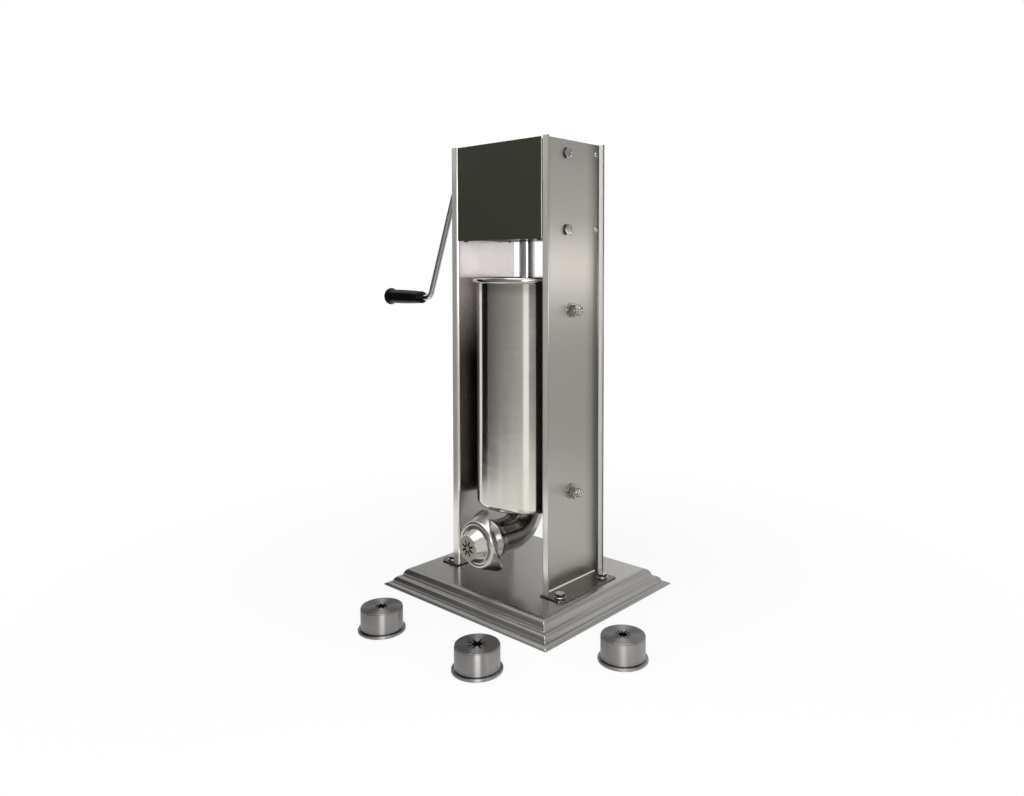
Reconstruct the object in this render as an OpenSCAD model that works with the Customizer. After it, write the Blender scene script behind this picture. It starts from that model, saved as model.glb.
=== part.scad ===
// Manual churro machine: a geared rack press in a sheet steel column on a moulded base.
// The origin is on the floor under the middle of the base. +Z is up, the outlet points to -Y
// and the crank stands on the -X side.

/* [Base] */
// Width of the base over its lip, left to right
base_w = 341; // [320:1:380]
// Depth of the base over its lip, front to back
base_d = 302; // [280:1:340]
// Height of the flat top above the floor
base_h = 26; // [25:1:34]
// Width of the moulded border round the flat top
mould_w = 33; // [31:1:36]
// Thickness of the pressed sheet
base_t = 2; // [1.5:0.1:2.5]
// Width of the sloping lip that lies on the floor
lip_w = 8; // [7:0.5:9]
// Height of the lip at its outer edge
lip_edge = 1.6; // [1.2:0.1:2]
// Height of the lip at its inner edge
lip_h = 5; // [4:0.2:5.6]
// Radius of the round moulding above the lip
ovolo_r = 9.8; // [9:0.2:10.4]
// Radius of the shoulder at the flat top
shoulder_r = 12; // [10:0.5:12]
// Width and depth of the grooves between the mouldings
quirk = 0.7; // [0.5:0.1:1]

/* [Column] */
// Clear width between the side plates
col_w = 176; // [175:1:190]
// Depth of the side plates over their flanges
col_d = 131; // [128:1:150]
// Height of the top of the column above the floor
col_top = 690; // [670:1:720]
// Thickness of the side plates
plate_t = 2; // [1.5:0.1:3]
// Reach of the plate flanges from the inner face
flange_w = 13.3; // [10:0.1:18]
// Outer radius of the folds
fold_r = 4; // [3.2:0.1:5]
// Reach of each foot from the inner face of its plate
foot_w = 42; // [36:1:46]
// How far each foot runs forward of the column's middle
foot_front = 69; // [66:1:80]
// How far each foot runs behind the column's middle
foot_back = 59; // [56:1:66]
// Cut-off corner of the foot
foot_chamfer = 8; // [4:1:12]
// Distance of the foot bolts from the outer edge of the foot
foot_bolt_edge = 16; // [14:1:18]
// Distance of the front foot bolts from the column's middle
foot_bolt_front = 55; // [50:1:58]
// Distance of the rear foot bolts from the column's middle
foot_bolt_back = 45; // [40:1:48]

/* [Gearbox] */
// Height of the gearbox at the top of the column
gearbox_h = 146; // [140:1:156]
// Thickness of the cover sheets
cover_t = 1.5; // [1:0.1:2]
// Depth of the folded edges of the covers
cover_fold = 15; // [12:1:17]
// Thickness of the gearbox floor
floor_t = 4; // [3:0.5:6]
// Thickness of the top cover
top_t = 2; // [1.5:0.5:3]
// Thickness of the bearing blocks
block_t = 24; // [20:1:28]
// Depth of the shafts below the top of the column
shaft_drop = 63; // [56:1:70]
// Diameter of both shafts
shaft_d = 16; // [14:0.5:17]
// Wall of the bearing bushes
bush_wall = 3; // [2:0.5:4]
// Height of the lower block bolts above the gearbox's bottom
block_bolt_low = 14; // [13:1:24]
// Distance of the upper block bolts below the top of the column
block_bolt_high = 20; // [16:1:30]
// Distance of the block bolts in front of the column's middle
block_bolt_y = 12; // [8:1:16]

/* [Gears] */
// Module of the crank pinion and the drive gear
gear_m = 2; // [1.95:0.05:2.1]
// Teeth of the crank pinion
pinion_z = 12; // [12:1:13]
// Teeth of the drive gear
gear_z = 34; // [34:2:36]
// Module of the rack and its pinion
rack_m = 2.5; // [2.4:0.05:2.7]
// Teeth of the rack pinion
rack_z = 12; // [11:1:12]
// Pressure angle of all teeth
press_a = 25; // [25:0.5:27]
// Play taken from each tooth
backlash = 0.12; // [0.08:0.01:0.2]
// Face width of the crank pinion and the drive gear
gear_w = 12; // [9:1:14]
// Face width of the rack pinion
rack_pinion_w = 20; // [16:1:24]
// Distance of the gear pair from the rod's middle
gear_x = 34; // [32:1:40]
// Turns of the crank over the plunger's stroke
crank_turns = 11; // [8:0.5:11]

/* [Rod and plunger] */
// Diameter of the rack rod
rod_d = 24; // [23:0.5:25]
// Flat on the rod that the rack is cut into
rack_flat = 0.5; // [0.3:0.1:1]
// Distance of the rod's end below the top of the column
rod_drop = 5; // [4:1:8]
// Wall of the rod guide
guide_wall = 5; // [4:0.5:7]
// Height of the rod guide above the gearbox floor
guide_h = 14; // [10:1:18]
// Thickness of the plunger disc
plunger_t = 12; // [10:1:14]
// Height of the plunger's hub above its disc
plunger_hub_h = 10; // [8:1:14]
// Diameter of the plunger's hub
plunger_hub_d = 44; // [40:1:50]
// Gap between the plunger and the wall of the cylinder
plunger_gap = 2.5; // [2:0.1:3]
// Height of the plunger seal
seal_h = 6; // [5:0.5:7]
// Depth of the seal groove
seal_depth = 3; // [2:0.5:4]
// Diameter of the rod's threaded end
spigot_d = 14; // [12:0.5:16]

/* [Cylinder and outlet] */
// Outside diameter of the dough cylinder
cyl_d = 158; // [150:1:159]
// Wall of the dough cylinder
cyl_t = 1.5; // [1.2:0.1:2]
// Height of the cylinder's bottom above the floor
cyl_z = 134; // [130:1:140]
// Height of the cylinder over its rim
cyl_h = 353.5; // [344:0.5:356]
// Diameter of the rolled rim
rim_bead = 9; // [7:0.5:9]
// Radius of the cylinder's bottom edge
cyl_edge = 9; // [6:1:12]
// Diameter of the studs that hold the cylinder
stud_d = 12; // [10:1:14]
// Length of each stud outside its plate
stud_out = 20; // [18:1:26]
// Height of the lower studs above the cylinder's bottom
stud_low = 32; // [28:1:40]
// Distance of the upper studs below the rim
stud_high = 49; // [44:1:56]
// Outside diameter of the elbow
elbow_d = 53; // [50:0.5:56]
// Wall of the elbow
elbow_t = 2; // [1.5:0.1:2.5]
// Bend radius of the elbow
elbow_r = 42; // [38:1:46]
// Straight run of the elbow behind the ferrule
elbow_run = 34.5; // [30:0.5:39]
// Width of the plain collar of the ferrule
collar_w = 11; // [9:1:13]
// Length of the ferrule's thread
thread_w = 19; // [17:1:22]
// Outside diameter of the ferrule's thread
thread_d = 66.2; // [66:0.1:68]
// Step of the collar below the thread
collar_step = 2.7; // [2:0.1:3.2]

/* [Dies and wing nut] */
// Diameter of the seat flange of a die
die_flange_d = 65.4; // [64.4:0.1:65.8]
// Thickness of the seat flange
die_flange_t = 3.4; // [3:0.1:4]
// Diameter of a die's body
die_d = 58; // [57:0.1:59]
// Height of a die
die_h = 33; // [30:0.5:36]
// Wall of a die
die_wall = 3; // [2.5:0.1:4]
// Diameter of the foot of the fitted die's cone
die_cone_d = 52; // [50:0.5:55]
// Diameter of the fitted die's front face
die_face_d = 36.5; // [34:0.5:40]
// Reach of the fitted die in front of its flange
die_reach = 19.5; // [17:0.5:22]
// Wall of the wing nut's threaded sleeve
nut_wall = 1.8; // [1.4:0.1:2]
// Length of the threaded sleeve
nut_w = 12; // [11:0.5:15]
// Wall of the wing nut's outer ring
ring_wall = 2.2; // [2:0.1:3]
// Width of the outer ring at its sides
ring_w = 4; // [3.5:0.5:6]
// Thickness of the wing nut's front lip
nut_lip = 3; // [2.5:0.1:4]
// Reach of the wing tips from the outlet's middle
wing_r = 46.5; // [44:0.5:48]
// Distance of the wing tips behind the nut's front
wing_back = 32; // [28:0.5:32]
// Width of the wing tips
wing_tip = 32; // [28:1:36]
// Depth of the wing tips' round ends
wing_round = 6; // [5:0.5:9]
// Thickness of the wings
wing_t = 5.5; // [5:0.1:6.5]
// Turn of the wings from upright
wing_turn = 20; // [0:1:30]

/* [Crank] */
// Distance of the arm's upper corner from the hub's inner end
arm_in = 36; // [34:0.5:40]
// Height of the grip below the shaft
crank_drop = 176; // [160:1:190]
// Lean of the arm away from the column
arm_lean = 19.8; // [16:0.2:21]
// Diameter of the arm
arm_d = 10; // [9:0.5:12]
// Bend radius of the arm
arm_bend = 14; // [12:1:18]
// Diameter of the collar that joins shaft and arm
hub_d = 26; // [24:0.5:30]
// Length of the collar
hub_len = 25; // [22:0.5:26]
// Length of the grip
grip_len = 92; // [84:1:104]
// Diameter of the grip's flared end
grip_end_d = 30; // [28:0.5:34]
// Diameter of the grip at its inner end
grip_neck_d = 20.5; // [19:0.5:23]
// Bare length of the arm between its bend and the grip
grip_bare = 10; // [6:0.5:14]

/* [Fits] */
// Radial running clearance of shafts, rod and thread
run_fit = 0.05; // [0.02:0.01:0.09]
// Clearance of fixed pieces in their seats
seat_fit = 0.02; // [0.01:0.01:0.05]
// Radial clearance of bolts and screws in their holes
bolt_fit = 0.4; // [0.3:0.05:0.5]
// Gap between pieces that only pass each other
pass_gap = 0.4; // [0.3:0.05:0.6]

/* [Hidden] */
$fn = 64;
EPS = 0.01;
// Depth by which cutters run past a surface
over = 1;

// Bolts and screws: shank diameter, head width across corners, head height
foot_bolt = [8, 15, 6];
block_bolt = [10, 18.5, 5];
stud_nut = [stud_d, 20.8, 10];
cover_screw = [5, 9, 2.5];
small_screw = [4, 7.5, 2.2];
washer_t = 2.5;
washer_d = 23;
nut_h = 6.5;

// Column and gearbox levels
plate_in = col_w / 2;
plate_out = plate_in + plate_t;
front_y = -col_d / 2;
back_y = col_d / 2;
box_z = col_top - gearbox_h;
floor_z = box_z + cover_t;
block_z = floor_z + floor_t;
top_gap = 1;
top_drop = 3.4;
top_z = col_top - top_drop - top_t;
block_front = front_y + cover_t + over;
block_back = back_y - cover_fold - over;
block_in = plate_in - block_t;
cover_half = plate_in - pass_gap;
foot_bolt_x = plate_in + foot_w - foot_bolt_edge;
cover_screw_x = plate_in - block_t / 2;
cover_screw_y = front_y + cover_fold / 2;
rear_screw_y = back_y - cover_fold / 2;
floor_screw_edge = 8;
rear_floor_y = block_back - floor_screw_edge;
rear_screw_edge = 16;
screw_grip = 10;
// Depth of the block bolts' holes short of the block, and of the bolts short of that
bolt_hole_rest = 4;
bolt_rest = 2;
// Length by which a screw or bolt runs past its last piece
tail = 2;

// Gear train: the rack is on the rear of the rod, the crank in front of it
shaft_r = shaft_d / 2;
rod_r = rod_d / 2;
shaft_z = col_top - shaft_drop;
rack_tip_y = rod_r - rack_flat;
rack_line_y = rack_tip_y - rack_m;
gear_y = rack_line_y + rack_m * rack_z / 2;
crank_y = gear_y - gear_m * (pinion_z + gear_z) / 2;
rack_pitch = PI * rack_m;
travel = crank_turns * PI * rack_m * rack_z * pinion_z / gear_z;
rack_ends = 2;
rack_below = ceil(travel / rack_pitch) + rack_ends;
bush_r = shaft_r + bush_wall;
gear_mid_x = -gear_x;

// Rod and plunger levels at rest
cyl_r = cyl_d / 2;
bore_r = cyl_r - cyl_t;
plunger_nut_h = 7;
plunger_rest = 3;
plunger_z = cyl_z + cyl_t + plunger_rest + plunger_nut_h;
hub_z = plunger_z + plunger_t + plunger_hub_h;
rod_top = col_top - rod_drop;
seal_z = plunger_z + (plunger_t - seal_h) / 2;
spigot_nut_d = spigot_d * 1.75;

// Cylinder and outlet
rim_z = cyl_z + cyl_h;
boss_wall = 4;
stud_levels = [cyl_z + stud_low, rim_z - stud_high];
outlet_z = cyl_z - elbow_r;
outlet_r = elbow_d / 2 - elbow_t;
collar_s = elbow_r + elbow_run;
thread_s = collar_s + collar_w;
ferrule_end = thread_s + thread_w;
thread_r = thread_d / 2;
seat_gap = 0.1;
flange_s = ferrule_end + seat_gap;
nut_front_s = flange_s + die_flange_t + seat_gap + nut_lip;
nut_back_s = nut_front_s - nut_w;
nut_bore_r = thread_r + run_fit;
nut_r = nut_bore_r + nut_wall;
ring_r = nut_bore_r + ring_wall;
die_edge = 1;
nut_hole_r = die_d / 2 + pass_gap;
ring_edge = ring_r - nut_hole_r - pass_gap;
// Powers of the curves along which the wings flare and narrow
wing_flare = 1.7;
wing_taper = 1.4;
wing_steps = 8;

// Crank: the arm is drawn in the plane of the crank, with outward as x and up as z
hub_gap = 4;
hub_start = plate_in + flange_w + hub_gap;
arm_x = hub_start + arm_in;
hub_mid = hub_start + hub_len / 2;
hub_end = hub_start + hub_len;
arm_r = arm_d / 2;
bend_run = arm_bend * tan((90 - arm_lean) / 2);
grip_z = shaft_z - crank_drop;
corner_x = arm_x + crank_drop * tan(arm_lean);
bend_in = [corner_x - bend_run * sin(arm_lean), grip_z + bend_run * cos(arm_lean)];
bend_mid = bend_in + arm_bend * [cos(arm_lean), sin(arm_lean)];
grip_x = corner_x + bend_run + grip_bare;
grip_floor = 10;
pin_end = grip_x + grip_len - grip_floor - tail;
top_mid = [arm_x - bend_run, shaft_z - arm_bend];
bend_out = top_mid + arm_bend * [cos(arm_lean), sin(arm_lean)];
// The bend is a hair thicker than the straight runs, which reach a little way into it
bend_swell = 0.03;
bend_lap = 0.5;

// Loose dies: place on the floor, arm count, arm reach, arm width, centre radius
die_spots = [[-45, -250], [135, -240], [257, -99]];
die_stars = [[8, 8.8, 2.9, 5], [8, 12.9, 2.3, 6], [12, 10.6, 1.8, 5.4]];
fitted_star = [8, 12, 2.5, 3.5];

// Colours of the finishes
steel = [0.72, 0.72, 0.70];
polished = [0.83, 0.83, 0.82];
dark_cover = [0.20, 0.21, 0.18];
cast = [0.45, 0.46, 0.47];
bronze = [0.72, 0.52, 0.28];
black = [0.05, 0.05, 0.05];
rubber = [0.88, 0.88, 0.86];

// Helpers
// Points of an arc, from one angle to another
function arc(c, r, from, to, n) = [for (i = [0 : n]) c + r * [cos(from + (to - from) * i / n),
  sin(from + (to - from) * i / n)]];
function reversed(p) = [for (i = [len(p) - 1 : -1 : 0]) p[i]];

// Puts children at both signs of x
module both_sides() {
  children();
  mirror([1, 0, 0]) children();
}

// Turns a shape drawn up z so that it runs along +x
module along_x() { rotate([0, 90, 0]) children(); }

// Draws a flat outline in the y-z plane and gives it thickness along x
module slab_x(x0, x1) { translate([x0, 0, 0]) rotate([90, 0, 90]) linear_extrude(x1 - x0) children(); }

// Puts a shape drawn up z on the outlet's axis, with z as the distance forward
module outlet_axis() { translate([0, 0, outlet_z]) rotate([90, 0, 0]) children(); }

// A box from its low to its high corner
module block(low, high) { translate(low) cube(high - low); }

// A bolt whose head stands up from z = 0 and whose shank goes down
module hex_bolt(size, length) {
  cylinder(d = size[1], h = size[2], $fn = 6);
  translate([0, 0, -length]) cylinder(d = size[0], h = length + EPS);
}

// A pan screw, drawn like the bolt
module pan_screw(size, length) {
  rotate_extrude() polygon(concat([[0, 0]],
    arc([size[1] / 2 - size[2], 0], size[2], 0, 90, 6), [[0, size[2]]]));
  translate([0, 0, -length]) cylinder(d = size[0], h = length + EPS);
}

// A nut that stands up from z = 0
module hex_nut(size, hole) {
  difference() {
    cylinder(d = size[1], h = size[2], $fn = 6);
    translate([0, 0, -over]) cylinder(d = hole, h = size[2] + 2 * over);
  }
}

// Involute of an angle, in degrees
function inv(a) = tan(a) * 180 / PI - a;

// Half the angle that a tooth takes up at a radius
function tooth_half(m, z, r) = let (rp = m * z / 2, rb = rp * cos(press_a))
  (PI * m / 2 - backlash) / (2 * rp) * 180 / PI + inv(press_a) - inv(acos(min(1, rb / r)));

// Outline of a spur gear with a tooth at the angle given
function gear_outline(m, z, turn, n = 4) = let (
  rp = m * z / 2, rb = rp * cos(press_a), ra = rp + m, rr = rp - 1.25 * m, r0 = max(rb, rr),
  radii = [for (i = [0 : n]) r0 + (ra - r0) * i / n],
  polar = [for (t = [0 : z - 1]) let (c = turn + t * 360 / z) each concat(
    [[rr, c - tooth_half(m, z, r0)]],
    [for (r = radii) [r, c - tooth_half(m, z, r)]],
    [for (r = reversed(radii)) [r, c + tooth_half(m, z, r)]],
    [[rr, c + tooth_half(m, z, r0)]])])
  [for (p = polar) p[0] * [cos(p[1]), sin(p[1])]];

// A gear on the shaft line given, between two planes across x, with a bore for its shaft
module gear(m, z, turn, y, x0, x1) {
  translate([0, y, shaft_z]) slab_x(x0, x1) difference() {
    polygon(gear_outline(m, z, turn));
    circle(shaft_r + seat_fit);
  }
}

// Star opening of a die
module star(spec) {
  for (i = [0 : spec[0] - 1]) rotate(i * 360 / spec[0] + 180 / spec[0]) {
    translate([0, -spec[2] / 2]) square([spec[1] - spec[2] / 2, spec[2]]);
    translate([spec[1] - spec[2] / 2, 0]) circle(d = spec[2], $fn = 24);
  }
  circle(spec[3]);
}

// Base
// Moulding as distance inwards from the lip and height
function moulding() = let (
  ovolo = arc([lip_w + 2 * quirk + ovolo_r, lip_h - 2 * quirk], ovolo_r, 174, 98, 8))
  concat([[0, 0], [0, lip_edge], [lip_w, lip_h], [lip_w + quirk, lip_h - quirk]], ovolo,
    [ovolo[8] + [2 * quirk, 0], ovolo[8] + [3 * quirk, quirk]],
    arc([mould_w, base_h - shoulder_r], shoulder_r, 172, 90, 8));

// Section across the base, between two mitred edges
function base_section(half, drop) = let (m = moulding()) concat(
  [for (p = m) [p[0] - half, p[1] - drop]],
  reversed([for (p = m) [half - p[0], p[1] - drop]]));

module base_form(inset, drop) {
  intersection() {
    rotate([90, 0, 0]) translate([0, 0, -base_d])
      linear_extrude(2 * base_d) polygon(base_section(base_w / 2 - inset, drop));
    slab_x(-base_w, base_w) polygon(base_section(base_d / 2 - inset, drop));
  }
}

module foot_bolt_places() {
  both_sides() for (y = [-foot_bolt_front, foot_bolt_back]) translate([foot_bolt_x, y, 0]) children();
}

module base() {
  rim = lip_w + base_t;
  color(steel) difference() {
    base_form(0, 0);
    intersection() {
      base_form(base_t, base_t);
      block([rim - base_w / 2, rim - base_d / 2, -over], [base_w / 2 - rim, base_d / 2 - rim, base_h]);
    }
    foot_bolt_places() cylinder(d = foot_bolt[0] + 2 * bolt_fit, h = base_h + over);
  }
}

module foot_bolts() {
  color(polished) foot_bolt_places() translate([0, 0, base_h + plate_t])
    hex_bolt(foot_bolt, plate_t + base_t + nut_h + tail);
}

module foot_nuts() {
  size = [foot_bolt[0], foot_bolt[1], nut_h];
  color(polished) foot_bolt_places() translate([0, 0, base_h - base_t - nut_h])
    hex_nut(size, foot_bolt[0] + 2 * seat_fit);
}

// Side plates
// Folded corner of the sheet, from the web to a flange
module fold() {
  intersection() {
    difference() {
      circle(fold_r);
      circle(fold_r - plate_t);
    }
    translate([-fold_r, -fold_r]) square(fold_r);
  }
}

module half_channel() {
  translate([plate_in, front_y + fold_r]) square([plate_t, col_d / 2 - fold_r]);
  translate([plate_in + fold_r, front_y + fold_r]) fold();
  translate([plate_in + fold_r, front_y]) square([flange_w - fold_r, plate_t]);
}

module side_plate_form() {
  translate([0, 0, base_h]) linear_extrude(col_top - base_h) {
    half_channel();
    mirror([0, 1]) half_channel();
  }
  translate([0, 0, base_h]) linear_extrude(plate_t) polygon([
    [plate_in, -foot_front], [plate_in + foot_w - foot_chamfer, -foot_front],
    [plate_in + foot_w, foot_chamfer - foot_front], [plate_in + foot_w, foot_back],
    [plate_in, foot_back]]);
}

// Places of the fasteners that pass through a side plate, drawn outwards
module block_bolt_places() {
  for (z = [box_z + block_bolt_low, col_top - block_bolt_high])
    translate([plate_out, -block_bolt_y, z]) along_x() children();
}

module rear_screw_places() {
  for (z = [box_z + rear_screw_edge, col_top - rear_screw_edge])
    translate([plate_out, rear_screw_y, z]) along_x() children();
}

module stud_places() {
  for (z = stud_levels) translate([plate_out, 0, z]) along_x() children();
}

module side_plate() {
  module hole(d) { translate([0, 0, -plate_t - over]) cylinder(d = d + 2 * bolt_fit, h = plate_t + 2 * over); }
  difference() {
    side_plate_form();
    block_bolt_places() hole(block_bolt[0]);
    rear_screw_places() hole(cover_screw[0]);
    stud_places() hole(stud_d);
    for (y = [-foot_bolt_front, foot_bolt_back]) translate([foot_bolt_x, y, base_h - over])
      cylinder(d = foot_bolt[0] + 2 * bolt_fit, h = plate_t + 2 * over);
  }
}

module left_side_plate() {
  color(steel) difference() {
    mirror([1, 0, 0]) side_plate();
    translate([-plate_out - over, crank_y, shaft_z]) along_x()
      cylinder(r = shaft_r + over, h = plate_t + 2 * over);
  }
}

module right_side_plate() { color(steel) side_plate(); }

// Gearbox case
module screw_places(y) { for (s = [-1, 1]) translate([s * cover_screw_x, y, 0]) children(); }

module gearbox_floor() {
  color(cast) difference() {
    block([-cover_half, block_front, floor_z], [cover_half, back_y - cover_t - over, block_z]);
    translate([0, 0, floor_z - over]) cylinder(r = rod_r + guide_wall + seat_fit, h = floor_t + 2 * over);
    for (y = [cover_screw_y, rear_floor_y]) screw_places(y) translate([0, 0, floor_z - over])
      cylinder(d = small_screw[0] + 2 * bolt_fit, h = floor_t + 2 * over);
  }
}

module front_cover() {
  color(dark_cover) difference() {
    slab_x(-cover_half, cover_half) {
      translate([front_y, box_z]) square([cover_t, gearbox_h - top_gap]);
      translate([front_y, box_z]) square([cover_fold, cover_t]);
    }
    screw_places(cover_screw_y) translate([0, 0, box_z - over])
      cylinder(d = small_screw[0] + 2 * bolt_fit, h = cover_t + 2 * over);
  }
}

module rear_cover() {
  color(steel) difference() {
    union() {
      block([-cover_half, back_y - cover_t, floor_z], [cover_half, back_y, col_top - top_gap]);
      both_sides() block([cover_half - cover_t, back_y - cover_fold, block_z + pass_gap],
        [cover_half, back_y, col_top - top_gap]);
    }
    both_sides() rear_screw_places() translate([0, 0, -plate_t - pass_gap - cover_t - over])
      cylinder(d = cover_screw[0] + 2 * seat_fit, h = cover_t + 2 * over);
  }
}

module top_cover() {
  color(steel) difference() {
    block([-cover_half, block_front, top_z], [cover_half, back_y - cover_t - over, top_z + top_t]);
    translate([0, 0, top_z - over]) cylinder(r = rod_r + run_fit, h = top_t + 2 * over);
    for (y = [cover_screw_y, rear_floor_y]) screw_places(y) translate([0, 0, top_z - over])
      cylinder(d = small_screw[0] + 2 * bolt_fit, h = top_t + 2 * over);
    both_sides() block([cover_half - cover_t - over, back_y - cover_fold - over, top_z - over],
      [plate_in, back_y, top_z + top_t + over]);
  }
}

module cover_screws() {
  color(polished) screw_places(cover_screw_y) translate([0, 0, box_z]) mirror([0, 0, 1])
    pan_screw(small_screw, cover_t + floor_t + screw_grip);
}

module floor_screws() {
  color(polished) screw_places(rear_floor_y) translate([0, 0, floor_z]) mirror([0, 0, 1])
    pan_screw(small_screw, floor_t + screw_grip);
}

module top_screws() {
  color(polished) for (y = [cover_screw_y, rear_floor_y]) screw_places(y)
    translate([0, 0, top_z + top_t]) pan_screw(small_screw, top_t + screw_grip);
}

module rear_cover_screws() {
  color(polished) both_sides() rear_screw_places()
    pan_screw(cover_screw, plate_t + pass_gap + cover_t + tail);
}

module bearing_block() {
  depth = screw_grip + over;
  difference() {
    block([block_in, block_front, block_z], [plate_in, block_back, top_z]);
    for (y = [crank_y, gear_y]) translate([block_in - over, y, shaft_z]) along_x()
      cylinder(r = bush_r + seat_fit, h = block_t + 2 * over);
    block_bolt_places() translate([0, 0, bolt_hole_rest - plate_t - block_t])
      cylinder(d = block_bolt[0] + 2 * seat_fit, h = block_t);
    for (y = [cover_screw_y, rear_floor_y]) for (z = [block_z - over, top_z + over - depth - over])
      translate([cover_screw_x, y, z]) cylinder(d = small_screw[0] + 2 * seat_fit, h = depth + over);
  }
}

module left_bearing_block() { color(cast) mirror([1, 0, 0]) bearing_block(); }

module right_bearing_block() { color(cast) bearing_block(); }

module block_bolts() {
  color(polished) both_sides() block_bolt_places()
    hex_bolt(block_bolt, plate_t + block_t - bolt_hole_rest - bolt_rest);
}

// Pair of bushes on the shaft line given
module bushes(y) {
  color(bronze) both_sides() translate([block_in, y, shaft_z]) along_x() difference() {
    cylinder(r = bush_r, h = block_t);
    translate([0, 0, -over]) cylinder(r = shaft_r + run_fit, h = block_t + 2 * over);
  }
}

module crank_bushes() { bushes(crank_y); }

module gear_bushes() { bushes(gear_y); }

module rod_guide() {
  guide_flange = 3;
  color(bronze) translate([0, 0, floor_z]) difference() {
    union() {
      cylinder(r = rod_r + guide_wall, h = floor_t + guide_h);
      translate([0, 0, floor_t]) cylinder(r = rod_r + guide_wall + guide_flange, h = guide_flange);
    }
    translate([0, 0, -over]) cylinder(r = rod_r + run_fit, h = floor_t + guide_h + 2 * over);
  }
}

// Cylinder and outlet
module cylinder_wall() {
  bead_r = rim_bead / 2;
  rotate_extrude() {
    polygon(concat([[outlet_r, 0]], arc([cyl_r - cyl_edge, cyl_edge], cyl_edge, 270, 360, 8),
      [[cyl_r, cyl_h - bead_r], [bore_r, cyl_h - bead_r]],
      reversed(arc([cyl_r - cyl_edge, cyl_edge], cyl_edge - cyl_t, 270, 360, 8)), [[outlet_r, cyl_t]]));
    difference() {
      translate([bore_r + bead_r, cyl_h - bead_r]) circle(bead_r);
      translate([bore_r + bead_r, cyl_h - bead_r]) circle(bead_r - cyl_t);
    }
  }
}

module dough_cylinder() { color(polished) translate([0, 0, cyl_z]) cylinder_wall(); }

module cylinder_studs() {
  boss_r = stud_d / 2 + boss_wall;
  color(polished) difference() {
    both_sides() stud_places() {
      translate([0, 0, -plate_t - cyl_r]) cylinder(r = boss_r, h = cyl_r - seat_fit);
      translate([0, 0, -plate_t - over])
        cylinder(d = stud_d, h = plate_t + over + stud_out - stud_d / 4);
      translate([0, 0, stud_out - stud_d / 4]) intersection() {
        translate([0, 0, -stud_d / 2]) sphere(d = stud_d * sqrt(2));
        cylinder(d = stud_d, h = stud_d / 4);
      }
    }
    translate([0, 0, cyl_z]) cylinder(r = cyl_r + seat_fit, h = cyl_h);
  }
}

module stud_washers() {
  color(polished) both_sides() stud_places() difference() {
    cylinder(d = washer_d, h = washer_t);
    translate([0, 0, -over]) cylinder(d = stud_d + 2 * bolt_fit, h = washer_t + 2 * over);
  }
}

module stud_nuts() {
  color(polished) both_sides() stud_places() translate([0, 0, washer_t])
    hex_nut(stud_nut, stud_d + 2 * seat_fit);
}

module elbow() {
  module ring() {
    difference() {
      circle(d = elbow_d);
      circle(outlet_r);
    }
  }
  color(polished) {
    translate([0, -elbow_r, cyl_z]) rotate([0, 90, 0]) rotate_extrude(angle = 90)
      translate([elbow_r, 0]) ring();
    outlet_axis() translate([0, 0, elbow_r]) linear_extrude(elbow_run) ring();
  }
}

module outlet_ferrule() {
  color(polished) outlet_axis() difference() {
    union() {
      translate([0, 0, collar_s]) cylinder(r = thread_r - collar_step, h = collar_w);
      translate([0, 0, thread_s]) cylinder(r = thread_r, h = thread_w);
    }
    translate([0, 0, collar_s - over]) cylinder(r = outlet_r, h = collar_w + thread_w + 2 * over);
  }
}

// Crank
// Draws in the plane of the crank, with x pointing away from the column
module crank_plane() { translate([0, crank_y, 0]) mirror([1, 0, 0]) children(); }

module crank_shaft() {
  color(polished) translate([-hub_mid, crank_y, shaft_z]) along_x()
    cylinder(r = shaft_r, h = hub_mid + plate_in - pass_gap);
}

module crank_pinion() {
  color(cast) gear(gear_m, pinion_z, 180 / pinion_z, crank_y, gear_mid_x - gear_w / 2 - over,
    gear_mid_x + gear_w / 2 + over);
}

module crank_hub() {
  color(polished) crank_plane() difference() {
    translate([hub_start, 0, shaft_z]) along_x() cylinder(d = hub_d, h = hub_len);
    translate([hub_start - over, 0, shaft_z]) along_x()
      cylinder(r = shaft_r + seat_fit, h = hub_len / 2 + over);
    translate([hub_start, 0, shaft_z]) along_x() cylinder(r = arm_r + seat_fit, h = hub_len + over);
    for (k = [1, 3]) translate([hub_start + k * hub_len / 4, 0, shaft_z])
      cylinder(d = cover_screw[0] + 2 * seat_fit, h = hub_d);
  }
}

module hub_screws() {
  color(polished) crank_plane() for (k = [[1, shaft_r], [3, arm_r]])
    translate([hub_start + k[0] * hub_len / 4, 0, shaft_z + k[1] + seat_fit])
      cylinder(d = cover_screw[0], h = hub_d / 2 - k[1] + over);
}

// A bend of the arm, from the lean of the arm to the level or back
module arm_corner(mid, turn) {
  translate([mid[0], 0, mid[1]]) rotate([90, 0, 0]) rotate([0, 0, turn + arm_lean])
    rotate_extrude(angle = 90 - arm_lean) translate([arm_bend, 0]) circle(arm_r + bend_swell);
}

module crank_arm() {
  color(polished) crank_plane() {
    translate([hub_mid + over, 0, shaft_z]) along_x()
      cylinder(r = arm_r, h = top_mid[0] + bend_lap - hub_mid - over);
    arm_corner(top_mid, 0);
    translate([bend_out[0], 0, bend_out[1]]) rotate([0, 180 - arm_lean, 0])
      translate([0, 0, -bend_lap]) cylinder(r = arm_r, h = norm(bend_in - bend_out) + 2 * bend_lap);
    arm_corner(bend_mid, 180);
    translate([corner_x + bend_run - bend_lap, 0, grip_z]) along_x()
      cylinder(r = arm_r, h = pin_end - corner_x - bend_run + bend_lap);
  }
}

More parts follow.
